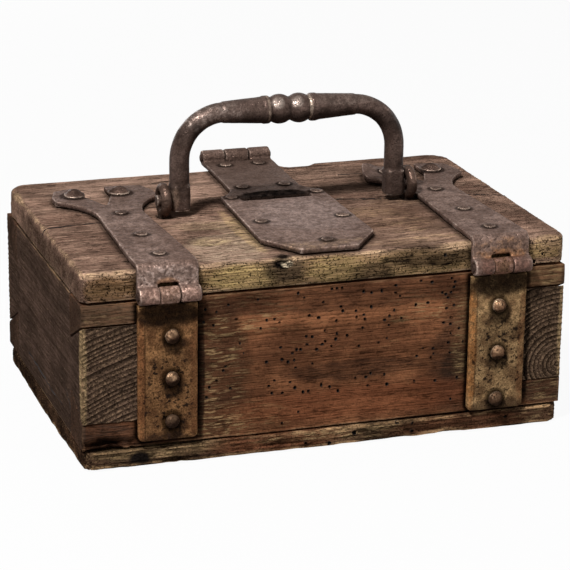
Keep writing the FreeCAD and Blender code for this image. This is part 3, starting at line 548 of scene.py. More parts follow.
class Effects:
    """The shader groups that several finishes share."""

    def __init__(self) -> None:
        """Builds every group once."""
        self.rings = self.growth_rings()
        self.fibre = self.wood_fibre()
        self.patch = self.patch_mask()
        self.skin = self.iron_skin()

    @staticmethod
    def growth_rings() -> bpy.types.NodeTree:
        """Dark late wood at the end of each year's growth.

        Returns:
            The group, from the ring count to a mask.
        """
        inputs = {"Ring": "Float", "Sharpness": "Float"}
        sheet, given, gives = new_group("growth_rings", inputs, {"Late": "Float"})
        year = sheet.math("FRACT", given["Ring"])
        rise = sheet.math("POWER", year, given["Sharpness"])
        fall = sheet.ease(year, 0.86, 1.0, 1.0, 0.0)
        whole = sheet.math("FLOOR", given["Ring"])
        luck = sheet.node("TexWhiteNoise", {"W": whole}, noise_dimensions="1D").outputs["Value"]
        strength = sheet.plus(sheet.times(luck, 0.65), 0.35)
        sheet.feed(gives["Late"], sheet.times(sheet.times(rise, fall), strength))
        return sheet.tree

    @staticmethod
    def wood_fibre() -> bpy.types.NodeTree:
        """Lines, bands, flecks and pores along the grain, with specks and grime over them.

        Returns:
            The group, from a place in millimetres to eight masks.
        """
        names = ("Broad", "Fine", "Fleck", "Blotch", "Pore", "Grime", "Speck", "Splinter")
        inputs = dict.fromkeys(("Position", "Long", "Short"), "Vector")
        sheet, given, gives = new_group("wood_fibre", inputs, dict.fromkeys(names, "Float"))
        raw = given["Position"]
        drift = sheet.node("TexNoise", {"Vector": raw, "Scale": 0.02, "Detail": 1.0})
        sway = sheet.vector("SUBTRACT", drift.outputs["Color"], (0.5, 0.5, 0.5))
        swayed = sheet.vector("ADD", raw, sheet.vector("MULTIPLY", sway, (6.0, 6.0, 6.0)))
        long = sheet.vector("MULTIPLY", swayed, given["Long"])
        short = sheet.vector("MULTIPLY", swayed, given["Short"])
        second = sheet.vector("ADD", short, (31.0, 17.0, 5.0))
        third = sheet.vector("ADD", short, (3.0, 41.0, 23.0))
        layers = {
            "Broad": (long, 0.14, 3.0, 0.6, None),
            "Fine": (long, 0.75, 3.0, 0.65, None),
            "Blotch": (long, 0.045, 2.0, 0.6, None),
            "Fleck": (short, 0.8, 4.0, 0.68, (0.57, 0.66)),
            "Splinter": (third, 0.75, 4.0, 0.7, None),
            "Pore": (second, 1.0, 3.0, 0.6, (0.56, 0.66)),
            "Grime": (raw, 0.04, 6.0, 0.64, None),
            "Speck": (raw, 1.0, 2.0, 0.6, (0.54, 0.64)),
        }
        for name, (place, scale, detail, rough, step) in layers.items():
            mask = sheet.speckle(place, scale, detail, rough)
            sheet.feed(gives[name], sheet.ease(mask, *step) if step else mask)
        return sheet.tree

    @staticmethod
    def patch_mask() -> bpy.types.NodeTree:
        """A worn or stained place with a ragged border.

        Returns:
            The group, from a place in millimetres to a mask.
        """
        inputs = dict.fromkeys(("Position", "Centre", "Reach"), "Vector")
        inputs |= dict.fromkeys(("Break", "Ragged", "Torn"), "Float")
        sheet, given, gives = new_group("patch_mask", inputs, {"Mask": "Float"})
        away = sheet.vector("SUBTRACT", given["Position"], given["Centre"])
        far = sheet.vector("LENGTH", sheet.vector("DIVIDE", away, given["Reach"]))
        offset = sheet.times(sheet.math("SUBTRACT", given["Break"], 0.5), given["Ragged"])
        mask = sheet.ease(sheet.plus(far, offset), 1.2, 0.7)
        sheet.feed(gives["Mask"], sheet.times(mask, given["Torn"]))
        return sheet.tree

    @staticmethod
    def iron_skin() -> bpy.types.NodeTree:
        """Mottled forge scale, leathery dimples, fine grit and rust pits.

        Returns:
            The group, from a place in millimetres to five masks.
        """
        outputs = dict.fromkeys(("Mottle", "Dimple", "Grit", "Pits", "Height"), "Float")
        inputs = {"Position": "Vector", "Grain": "Float"}
        sheet, given, gives = new_group("iron_skin", inputs, outputs)
        place = sheet.scaled(given["Position"], sheet.math("DIVIDE", 1.0, given["Grain"]))
        mottle = sheet.speckle(place, 0.08, 5.0, 0.64)
        dimple = sheet.speckle(place, 0.28, 4.0, 0.6)
        grit = sheet.speckle(place, 0.9, 3.0, 0.6)
        cells = sheet.node("TexVoronoi", {"Vector": place, "Scale": 0.38}).outputs["Distance"]
        pits = sheet.times(sheet.ease(cells, 0.36, 0.12), sheet.ease(mottle, 0.42, 0.58))
        height = sheet.times(dimple, 1.6)
        for mask, depth in ((grit, 0.5), (mottle, 1.0), (pits, -0.6)):
            height = sheet.plus(height, sheet.times(mask, depth))
        for name, value in zip(outputs, (mottle, dimple, grit, pits, height)):
            sheet.feed(gives[name], value)
        return sheet.tree


EFFECTS = Effects()


@dataclass(frozen=True)
class ColourPatch:
    """A place on a surface with a colour laid over it, for stains and for painted shade, shadows
    and highlights; lengths in millimetres.
    """

    centre: Point
    reach: Point
    colour: Rgb
    strength: float = 0.8
    ragged: float = 1.2
    torn: float = 0.6

    def holes(self) -> tuple[float, float, float, float]:
        """How the surface's noise is eased to tear holes into the patch."""
        return 0.34 + 0.18 * self.torn, 0.58 + 0.05 * self.torn, 1 - self.torn, 1.0


def on_wall(y: float, rows: tuple[tuple, ...], deep: float = 6) -> tuple[ColourPatch, ...]:
    """Lists colour patches on an upright face.

    Args:
        y: Where the face stands.
        rows: For each patch its place and reach across and up the face, then the rest of it.
        deep: How far the stains reach into the face.

    Returns:
        The patches.
    """
    return tuple(ColourPatch((x, y, z), (wide, deep, high), *rest) for x, z, wide, high, *rest in rows)


def on_top(z: float, rows: tuple[tuple, ...], deep: float = 8) -> tuple[ColourPatch, ...]:
    """Lists colour patches on a level face.

    Args:
        z: Where the face lies.
        rows: For each patch its place and reach across and along the face, then the rest of it.
        deep: How far the stains reach into the face.

    Returns:
        The patches.
    """
    return tuple(ColourPatch((x, y, z), (wide, long, deep), *rest) for x, y, wide, long, *rest in rows)


class Finish:
    """What the finishes have in common."""

    name: str
    patches: tuple[ColourPatch, ...]
    gloss: float
    relief: float

    def open_sheet(self) -> tuple[bpy.types.Material, NodeSheet, Socket]:
        """Starts a material.

        Returns:
            The material, its sheet and the place in millimetres.
        """
        material, sheet, _ = plain_material(self.name)
        place = sheet.node("TexCoord").outputs["Object"]
        scale = sheet.node("Mapping", {"Vector": place, "Scale": (1 / MM, 1 / MM, 1 / MM)})
        return material, sheet, scale.outputs["Vector"]

    def lay_patches(self, sheet: NodeSheet, place: Socket, colour: Socket, rough: Socket,
                   torn: Socket) -> Socket:
        """Lays the finish's patches over its colour: stains, and painted shade, shadows and
        highlights.

        Args:
            sheet: The material's sheet.
            place: The place in millimetres.
            colour: The colour below.
            rough: What breaks up the patches' borders.
            torn: What lets the colour below show through them.

        Returns:
            The stained colour's socket.
        """
        for overlay in self.patches:
            inputs = {"Position": place, "Centre": overlay.centre, "Reach": overlay.reach,
                      "Break": rough, "Ragged": overlay.ragged,
                      "Torn": sheet.ease(torn, *overlay.holes())}
            mask = sheet.node("Group", inputs, node_tree=EFFECTS.patch).outputs["Mask"]
            share = sheet.times(mask, overlay.strength)
            colour = sheet.blend(share, colour, linear(overlay.colour))
        return colour

    def close_sheet(self, sheet: NodeSheet, colour: Socket, rough: Socket,
                    height: Socket) -> bpy.types.Node:
        """Joins colour, roughness and relief to the shader.

        Args:
            sheet: The material's sheet.
            colour: The colour.
            rough: The roughness.
            height: The relief.

        Returns:
            The surface's shader node.
        """
        shader = sheet.tree.nodes["Principled BSDF"]
        sheet.feed(shader.inputs["Base Color"], colour)
        sheet.feed(shader.inputs["Roughness"], rough)
        shader.inputs["Specular IOR Level"].default_value = self.gloss
        bump = sheet.node("Bump", {"Height": height, "Distance": self.relief * MM, "Strength": 1.0})
        sheet.feed(shader.inputs["Normal"], bump.outputs["Normal"])
        return shader


@dataclass(frozen=True)
class WoodFinish(Finish):
    """Old wood: growth rings, fibres, worn edges, stains, painted shade in hollows, and dirt with
    painted contact shade near the iron.
    """

    name: str
    grain: Axis
    body: Rgb
    dark: Rgb
    light: Rgb
    worn: Rgb
    late: float = 0.45
    streak: float = 0.2
    fleck: float = 0.4
    soil: float = 0.2
    pore: float = 0.5
    speck: float = 0.4
    front_speck: float = 0.0
    front_late: float = 0.0
    contact: float = 0.8
    rough: float = 0.7
    relief: float = 0.5
    gloss: float = 0.0
    fibre: tuple[float, float] = (0.02, 0.13)
    sharp: float = 2.2
    patches: tuple[ColourPatch, ...] = ()

    def material(self) -> bpy.types.Material:
        """Builds the material.

        Returns:
            The wood's material.
        """
        material, sheet, place = self.open_sheet()
        long, short = (self.grain.stretch(1.0, share) for share in self.fibre)
        inputs = {"Position": place, "Long": long, "Short": short}
        fibre = sheet.node("Group", inputs, node_tree=EFFECTS.fibre).outputs
        broad, fine, grime = fibre["Broad"], fibre["Fine"], fibre["Grime"]
        inputs = {"Ring": sheet.kept("ring"), "Sharpness": self.sharp}
        late = sheet.node("Group", inputs, node_tree=EFFECTS.rings).outputs["Late"]
        tone = sheet.times(sheet.plus(fibre["Blotch"], grime), 0.5)
        colour = sheet.blend(sheet.ease(tone, 0.4, 0.6), linear(self.dark), linear(self.body))
        flecks = sheet.times(fibre["Fleck"], self.fleck)
        colour = sheet.blend(flecks, colour, linear(self.light))
        border = sheet.times(sheet.plus(broad, grime), 0.5)
        colour = self.lay_patches(sheet, place, colour, border, fibre["Splinter"])
        front = sheet.kept("front")
        early = sheet.times(sheet.ease(late, 0.0, 0.1, self.front_late, 0.0), front)
        early = sheet.times(early, sheet.ease(fibre["Splinter"], 0.44, 0.6, 0.0, 0.8))
        colour = sheet.blend(early, colour, linear(self.light))
        torn = sheet.ease(sheet.times(sheet.kept("wear"), sheet.plus(fine, 0.4)), 0.3, 0.75)
        torn = sheet.times(torn, sheet.ease(grime, 0.4, 0.58, 0.15, 0.9))
        colour = sheet.blend(torn, colour, linear(self.worn))
        specks = sheet.plus(sheet.times(front, self.front_speck), self.speck)
        years = sheet.ease(front, 0.0, 1.0, self.late, self.late + self.front_late)
        pale = sheet.plus(sheet.times(years, 0.4), 1.0)
        # dirt and painted contact shade near the iron, darker the closer
        dirt = sheet.kept("dirt")
        smudge_and_shade = sheet.times(dirt, sheet.plus(grime, 0.4))
        factors = (
            sheet.ease(fine, 0.34, 0.66, 1 - self.streak, 1 + 0.7 * self.streak),
            sheet.ease(broad, 0.36, 0.64, 1 - 0.8 * self.streak, 1 + 0.5 * self.streak),
            sheet.ease(grime, 0.36, 0.64, 1 - self.soil, 1 + 0.6 * self.soil),
            sheet.ease(sheet.times(late, years), 0.0, 1.0, 1.0, 0.0),
            sheet.ease(late, 0.0, 0.25, pale, 1.0),
            sheet.ease(sheet.times(fibre["Pore"], self.pore), 0.0, 1.0, 1.0, 0.0),
            sheet.ease(sheet.times(fibre["Speck"], specks), 0.0, 1.0, 1.0, 0.0),
            # painted shade in the hollows
            sheet.ease(sheet.kept("hollow"), 0.0, 1.0, 1.0, 0.15),
            sheet.ease(smudge_and_shade, 0.1, 0.9, 1.0, 1 - self.contact),
            sheet.ease(dirt, 0.6, 0.85, 1.0, 1 - 0.9 * self.contact),
        )
        for factor in factors:
            colour = sheet.scaled(colour, factor)
        rough = sheet.ease(fine, 0.3, 0.7, self.rough + 0.12, self.rough - 0.08)
        height = sheet.plus(sheet.times(late, 0.8), sheet.plus(fine, broad))
        pits = sheet.plus(fibre["Pore"], sheet.times(fibre["Speck"], 0.6))
        self.close_sheet(sheet, colour, rough, sheet.math("SUBTRACT", height, pits))
        return material


SOOT = (0.008, 0.06)  # iron darker than the first is all soot, brighter than the second all metal


@dataclass(frozen=True)
class IronFinish(Finish):
    """Forged iron: scale, grit, pits, rubbed edges, stains, painted shade and highlights, and dirt
    with painted contact shade around nails.
    """

    name: str
    body: Rgb
    dark: Rgb
    light: Rgb
    grain: float = 1.0
    grit: float = 0.35
    metal: float = 0.45
    rough: float = 0.46
    relief: float = 0.5
    gloss: float = 0.0
    rub: float = 0.45
    edge: float = 0.55
    pits: float = 0.6
    patches: tuple[ColourPatch, ...] = ()

    def material(self) -> bpy.types.Material:
        """Builds the material.

        Returns:
            The iron's material.
        """
        material, sheet, place = self.open_sheet()
        inputs = {"Position": place, "Grain": self.grain}
        skinned = sheet.node("Group", inputs, node_tree=EFFECTS.skin).outputs
        mottle, dimple, grit = skinned["Mottle"], skinned["Dimple"], skinned["Grit"]
        share = sheet.ease(mottle, 0.38, 0.62)
        colour = sheet.blend(share, linear(self.dark), linear(self.body))
        rubbed = sheet.ease(sheet.times(sheet.kept("wear"), sheet.plus(grit, 0.4)), 0.25, 0.75)
        rubbed = sheet.times(rubbed, sheet.ease(mottle, 0.42, 0.6, 0.1, self.rub))
        colour = sheet.blend(rubbed, colour, linear(self.light))
        colour = self.lay_patches(sheet, place, colour, mottle, dimple)
        # dirt and painted contact shade around the nails
        smudge_and_shade = sheet.times(sheet.kept("dirt"), sheet.plus(mottle, 0.4))
        factors = (
            sheet.ease(grit, 0.34, 0.66, 1 - self.grit, 1 + 0.6 * self.grit),
            sheet.ease(dimple, 0.36, 0.64, 1 - 0.8 * self.grit, 1 + 0.5 * self.grit),
            sheet.ease(skinned["Pits"], 0.0, 1.0, 1.0, 1 - self.pits),
            sheet.ease(smudge_and_shade, 0.1, 0.9, 1.0, 0.25),
        )
        for factor in factors:
            colour = sheet.scaled(colour, factor)
        rough = sheet.ease(dimple, 0.35, 0.65, self.rough + 0.12, self.rough - 0.1)
        shader = self.close_sheet(sheet, colour, rough, skinned["Height"])
        bright = sheet.node("RGBToBW", {"Color": colour}).outputs["Val"]
        sheet.feed(shader.inputs["Metallic"], sheet.ease(bright, *SOOT, 0.0, self.metal))
        shader.inputs["Specular Tint"].default_value = (self.edge, self.edge, self.edge, 1.0)
        return material


@dataclass(frozen=True)
class Bore:
    """The near-black inside of worm holes and splits."""

    name: str = "bore_dust"
    dark: Rgb = (14, 9, 7)
    light: Rgb = (38, 25, 17)
    grain: float = 900.0
    rough: float = 0.95

    def material(self) -> bpy.types.Material:
        """Builds the material.

        Returns:
            The dust's material.
        """
        material, sheet, shader = plain_material(self.name)
        dust = sheet.speckle(sheet.node("TexCoord").outputs["Object"], self.grain, 3.0)
        colour = sheet.blend(dust, linear(self.dark), linear(self.light))
        sheet.feed(shader.inputs["Base Color"], colour)
        shader.inputs["Roughness"].default_value = self.rough
        return material


BORE = Bore().material()


@dataclass(frozen=True)
class Growth:
    """How a board was cut from its log; lengths in millimetres."""

    grain: Axis
    pith: tuple[float, float]
    spacing: float
    wave: float
    seed: int
    swell: tuple[float, float] = (34.0, 190.0)
    spell: float = 3.1
    spread: float = 1.3

    def rings(self, points: Array) -> Array:
        """Counts the years of growth between the pith and each point.

        Args:
            points: Points in millimetres.

        Returns:
            The count, with parts of a year.
        """
        away = points[:, self.grain.across()] - np.array(self.pith)
        sway = noise(points, self.grain.stretch(*self.swell), self.seed, 2) - 0.5
        years = (np.hypot(away[:, 0], away[:, 1]) + self.wave * sway) / self.spacing
        spells = np.zeros_like(points)
        spells[:, 0] = years / self.spell
        return years + self.spread * noise(spells, 1.0, self.seed + 7)


@dataclass(frozen=True)
class WornEdge:
    """An edge of a board and how far it is rubbed off, in millimetres."""

    along: Axis
    sides: tuple[int, int]
    radius: float
    ragged: float = 0.7
    course: tuple[tuple[float, float], ...] = ()
    swell: tuple[float, float] = (38.0, 9.0)
    least: float = 0.35

    def wear(self, points: Array, low: Array, high: Array, seed: int) -> Array:
        """Rubs the edge off in place.

        Args:
            points: The board's points, changed in place.
            low: Lowest corner of the board.
            high: Highest corner of the board.
            seed: Which unevenness.

        Returns:
            How worn each point is, from 0 to 1.
        """
        first, second = self.along.across()
        spans = [points[:, axis] - low[axis] if side < 0 else high[axis] - points[:, axis]
                 for axis, side in zip((first, second), self.sides)]
        walk = np.zeros_like(points)
        walk[:, 0] = points[:, self.along.value]
        long, short = self.swell
        lumps = 0.6 * noise(walk, long, seed, 2) + 0.4 * noise(walk, short, seed + 5, 2)
        radius = self.radius * (1 + self.ragged * (2.4 * lumps - 1.2))
        if self.course:
            stops, factors = zip(*self.course)
            radius = radius * np.interp(points[:, self.along.value], stops, factors)
        radius = np.maximum(radius, self.least)
        inner = [np.clip(radius - span, 0, None) for span in spans]
        far = np.hypot(*inner)
        worn = (inner[0] > 0) & (inner[1] > 0) & (far > radius)
        share = np.where(worn, radius / np.maximum(far, TINY), 1.0)
        for axis, side, inset in zip((first, second), self.sides, inner):
            points[:, axis] += np.where(worn, -side * inset * (1 - share), 0)
        near = np.maximum(spans[0], spans[1])
        return np.clip(1.25 - near / (0.9 * radius + 0.6), 0, 1)


@dataclass(frozen=True)
class Hollow:
    """An eaten or dented place, darkened with painted shade in its dip; lengths in millimetres."""

    centre: Point
    reach: Point
    depth: float
    # share of painted shade laid in the dip
    dark: float


@dataclass(frozen=True)
class Crack:
    """A split that runs over a face; lengths in millimetres."""

    start: Point
    end: Point
    width: float
    depth: float
    down: Point = (0.0, 0.0, -1.0)
    seed: int = 1
    step: float = 3.0
    sway: float = 2.4
    swell: float = 11.0
    proud: float = 1.5
    tip: float = 0.08

    def tool(self, finish: bpy.types.Material) -> bpy.types.Object:
        """Makes the wedge that cuts the split.

        Args:
            finish: What the wedge's faces leave in the cut.

        Returns:
            The cutting tool.
        """
        down = Vector(self.down)
        run = Vector(self.end) - Vector(self.start)
        side = run.cross(down).normalized()
        count = max(4, round(run.length / self.step))
        work = bmesh.new()
        rows = []
        for index in range(count + 1):
            share = index / count
            walk = np.array([[index * self.step, 0.0, 0.0]])
            drift = self.sway * (noise(walk, self.swell, self.seed, 2)[0] - 0.5)
            gape = 0.25 + 0.75 * math.sin(math.pi * min(1.0, share * 0.9 + 0.1))
            half = side * (self.width * gape) * 0.5
            middle = Vector(self.start) + run * share + side * drift
            top = middle - down * self.proud
            low = middle + down * self.depth * (0.4 + 0.6 * math.sin(math.pi * share))
            tip = side * self.tip
            corners = (top - half, top + half, low + tip, low - tip)
            rows.append([work.verts.new(corner * MM) for corner in corners])
        skin(work, rows)
        close_ends(work, rows)
        for face in work.faces:
            face.material_index = 1
        mesh = bpy.data.meshes.new("split_tool")
        work.to_mesh(mesh)
        work.free()
        mesh.materials.append(finish)
        mesh.materials.append(finish)
        return new_object("split_tool", mesh)


class NodeTool:
    """A Geometry Nodes tree with named inputs and the modifiers that use it."""

    def __init__(self, name: str, inputs: dict[str, str]) -> None:
        """Starts the tree.

        Args:
            name: The tree's name.
            inputs: Names and kinds of its inputs after the geometry.
        """
        self.tree = bpy.data.node_groups.new(name, "GeometryNodeTree")
        self.sockets = add_sockets(self.tree, Way.IN, {"Geometry": "Geometry", **inputs})
        add_sockets(self.tree, Way.OUT, {"Geometry": "Geometry"})
        self.sheet = NodeSheet(self.tree)
        self.given = self.sheet.node("NodeGroupInput").outputs
        self.result = self.sheet.node("NodeGroupOutput").inputs["Geometry"]

    def finish(self, geometry: Socket) -> None:
        """Makes the instances real, dresses them and closes the tree.

        Args:
            geometry: The instances.
        """
        real = self.sheet.node("GeometryNodeRealizeInstances", {"Geometry": geometry})
        inputs = {"Geometry": real.outputs["Geometry"], "Material": self.given["Finish"]}
        dressed = self.sheet.node("GeometryNodeSetMaterial", inputs)
        self.sheet.feed(self.result, dressed.outputs["Geometry"])

    def apply(self, piece: bpy.types.Object, **values: object) -> None:
        """Runs the tree on a piece and leaves a plain mesh.

        Args:
            piece: The piece.
            values: The inputs' values by their names in small letters.
        """
        modifier = piece.modifiers.new(self.tree.name, "NODES")
        modifier.node_group = self.tree
        for name, value in values.items():
            modifier[self.sockets[name.replace("_", " ").title()]] = value
        settle(piece)


class NailTool(NodeTool):
    """Sets forged nails on points, each turned and sized a little differently."""

    def __init__(self) -> None:
        """Builds the tree."""
        inputs = {"Head": "Object", "Clench": "Object", "Spin Axis": "Vector",
                  "Spread": "Float", "Seed": "Int", "Finish": "Material"}
        super().__init__("nail_set", inputs)
        sheet, given = self.sheet, self.given
        points = sheet.node("GeometryNodeMeshToPoints", {"Mesh": given["Geometry"]})
        inputs = {"Axis": given["Spin Axis"], "Angle": self.luck(0.0, math.tau, 0)}
        spin = sheet.node("FunctionNodeAxisAngleToRotation", inputs).outputs["Rotation"]
        size = self.luck(sheet.math("SUBTRACT", 1.0, given["Spread"]), 1.0, 9)
        flag = sheet.node("GeometryNodeInputNamedAttribute", {"Name": "clenched"},
                          data_type="FLOAT")
        shapes = {"Clench": {"Selection": flag.outputs["Attribute"]},
                  "Head": {"Rotation": spin, "Scale": size}}
        join = sheet.node("GeometryNodeJoinGeometry")
        for name, inputs in shapes.items():
            shape = sheet.node("GeometryNodeObjectInfo", {"Object": given[name]})
            inputs |= {"Points": points.outputs["Points"], "Instance": shape.outputs["Geometry"]}
            made = sheet.node("GeometryNodeInstanceOnPoints", inputs)
            sheet.feed(join.inputs[0], made.outputs["Instances"])
        self.finish(join.outputs[0])

    def luck(self, low: object, high: object, shift: int) -> Socket:
        """A random number for each nail.

        Args:
            low: The least.
            high: The most.
            shift: Which draw it is.

        Returns:
            The number's socket.
        """
        made = self.sheet.node("FunctionNodeRandomValue", data_type="FLOAT")
        floats = [socket for socket in made.inputs if socket.type == "VALUE"]
        self.sheet.feed(floats[0], low)
        self.sheet.feed(floats[1], high)
        self.sheet.feed(made.inputs["Seed"], self.sheet.math("ADD", self.given["Seed"], shift))
        return [socket for socket in made.outputs if socket.type == "VALUE"][0]


class WormTool(NodeTool):
    """Bores woodworm holes into a face where the wood is soft."""

    SIDES = 8
    LUMPS = 34.0
    LEAST = (0.55, 0.55, 1.0)
    MOST = (1.25, 1.25, 1.0)

    def __init__(self) -> None:
        """Builds the tree."""
        inputs = {"Width": "Float", "Height": "Float", "Place": "Vector", "Turn": "Rotation",
                  "Apart": "Float", "Thick": "Float", "Bore": "Float", "Depth": "Float",
                  "Soft": "Float", "Seed": "Int", "Finish": "Material"}
        super().__init__("worm_holes", inputs)
        sheet, given = self.sheet, self.given
        inputs = {"Size X": given["Width"], "Size Y": given["Height"]}
        field = sheet.node("GeometryNodeMeshGrid", inputs)
        inputs = {"Mesh": field.outputs["Mesh"], "Distance Min": given["Apart"],
                  "Density Max": given["Thick"], "Seed": given["Seed"]}
        spread = sheet.node("GeometryNodeDistributePointsOnFaces", inputs,
                            distribute_method="POISSON")
        place = sheet.node("GeometryNodeInputPosition").outputs["Position"]
        hard = sheet.node("FunctionNodeCompare", data_type="FLOAT", operation="GREATER_THAN")
        floats = [socket for socket in hard.inputs if socket.type == "VALUE"]
        sheet.feed(floats[0], sheet.speckle(place, self.LUMPS, 1.0))
        sheet.feed(floats[1], given["Soft"])
        inputs = {"Geometry": spread.outputs["Points"], "Selection": hard.outputs["Result"]}
        kept = sheet.node("GeometryNodeDeleteGeometry", inputs, domain="POINT")
        inputs = {"Vertices": self.SIDES, "Side Segments": 1, "Radius": given["Bore"],
                  "Depth": given["Depth"]}
        drill = sheet.node("GeometryNodeMeshCylinder", inputs).outputs["Mesh"]
        inputs = {0: self.LEAST, 1: self.MOST, "Seed": given["Seed"]}
        size = sheet.node("FunctionNodeRandomValue", inputs, data_type="FLOAT_VECTOR")
        inputs = {"Points": kept.outputs["Geometry"], "Instance": drill,
                  "Scale": size.outputs["Value"]}
        bores = sheet.node("GeometryNodeInstanceOnPoints", inputs).outputs["Instances"]
        inputs = {"Geometry": bores, "Translation": given["Place"], "Rotation": given["Turn"]}
        self.finish(sheet.node("GeometryNodeTransform", inputs).outputs["Geometry"])


NAILS = NailTool()
WORMS = WormTool()


@dataclass(frozen=True)
class WormField:
    """Part of a face that woodworm has bored; lengths in millimetres."""

    place: Point
    turn: Point
    width: float
    height: float
    apart: float
    soft: float
    bore: float
    seed: int
    count: float = 13000.0
    depth: float = 18.0

    def tool(self, finish: bpy.types.Material) -> bpy.types.Object:
        """Makes the drills that cut the holes.

        Args:
            finish: What the drills leave in the holes.

        Returns:
            The cutting tool.
        """
        piece = new_object("worm_drills", bpy.data.meshes.new("worm_drills"))
        WORMS.apply(piece, width=self.width * MM, height=self.height * MM,
                    place=[part * MM for part in self.place],
                    turn=[math.radians(part) for part in self.turn],
                    apart=self.apart * MM, thick=self.count, bore=self.bore * MM,
                    depth=self.depth * MM, soft=self.soft, seed=self.seed, finish=finish)
        mesh = piece.data
        mesh.materials.append(finish)
        mesh.polygons.foreach_set("material_index", [1] * len(mesh.polygons))
        return piece


@dataclass
class Piece:
    """What every dressed piece has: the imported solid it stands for, its body and its slot."""

    node: str
    ride: Ride
    slot: str

    def evenly_skinned(self, grid: float, *finishes: bpy.types.Material) -> bpy.types.Object:
        """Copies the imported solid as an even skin.

        Args:
            grid: Width of a face in millimetres.
            finishes: The skin's materials.

        Returns:
            The copy.
        """
        piece = solid_copy(self.node)
        remesh(piece, grid)
        piece.data.materials.clear()
        for finish in finishes:
            piece.data.materials.append(finish)
        return piece

    def build(self) -> bpy.types.Object:
        """Makes the piece; each kind has its own way."""
        raise NotImplementedError

    def seat(self, piece: bpy.types.Object) -> bpy.types.Object:
        """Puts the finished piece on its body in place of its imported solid.

        Args:
            piece: The finished piece.

        Returns:
            The same piece.
        """
        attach(piece, self.ride.value)
        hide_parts(self.node)
        return piece


@dataclass
class Board(Piece):
    """One board: its solid worn down, split, bored and dressed."""

    grid: float
    growth: Growth
    finish: WoodFinish
    edges: tuple[WornEdge, ...]
    seed: int
    cracks: tuple[Crack, ...] = ()
    worms: tuple[WormField, ...] = ()
    hollows: tuple[Hollow, ...] = ()
    irons: tuple[str, ...] = ()
    warp: float = 0.5
    relief: float = 0.3
    fibre: tuple[float, float] = (9.0, 110.0)
    slack: float = 70.0
    shade: float = 4.5
    crease: float = 42.0

    def build(self) -> bpy.types.Object:
        """Makes the board.

        Returns:
            The dressed board on its body.
        """
        piece = self.evenly_skinned(self.grid, self.finish.material(), BORE)
        for cut in (*self.cracks, *self.worms):
            carve(piece, cut.tool(BORE))
        self.weather(piece.data)
        soften(piece.data, self.crease)
        return self.seat(piece)

    def weather(self, mesh: bpy.types.Mesh) -> None:
        """Wears the mesh down, inwards only, and keeps its rings and wear for the finish.

        Args:
            mesh: The board's mesh.
        """
        points = points_of(mesh)
        low, high = [np.array(corner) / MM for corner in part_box(self.node)]
        normals = normals_of(mesh)
        rings = self.growth.rings(points)
        drawn = noise(points, self.growth.grain.stretch(*self.fibre), self.seed + 3, 3)
        slack = noise(points, self.slack, self.seed, 2)
        year = rings - np.floor(rings)
        groove = (1 - smooth_step(0.55, 0.95, year)) * smooth_step(0.0, 0.25, year)
        depth = self.warp * slack + self.relief * (0.45 * groove + 0.9 * drawn)
        hollow = np.zeros(len(points))
        for place in self.hollows:
            away = (points - np.array(place.centre)) / np.array(place.reach)
            uneven = noise(points, 4.0, self.seed + 11, 2) - 0.5
            dip = 1 - smooth_step(0.25, 1.0, np.linalg.norm(away, axis=1) + 0.5 * uneven)
            depth = depth + place.depth * dip
            hollow = np.maximum(hollow, place.dark * dip)
        points = points - normals * depth[:, None]
        wear = np.zeros(len(points))
        for number, edge in enumerate(self.edges):
            wear = np.maximum(wear, edge.wear(points, low, high, self.seed + 20 + number))
        points = np.clip(points, low, high)
        move_points(mesh, points)
        store(mesh, "ring", rings)
        store(mesh, "wear", wear)
        # how much painted shade each hollow lays in its dip
        store(mesh, "hollow", hollow)
        store(mesh, "front", smooth_step(0.4, 0.8, -normals[:, 1]))
        # closeness to the iron, which the finish darkens as dirt and painted contact shade
        store(mesh, "dirt", nearness(points, self.irons, self.shade))


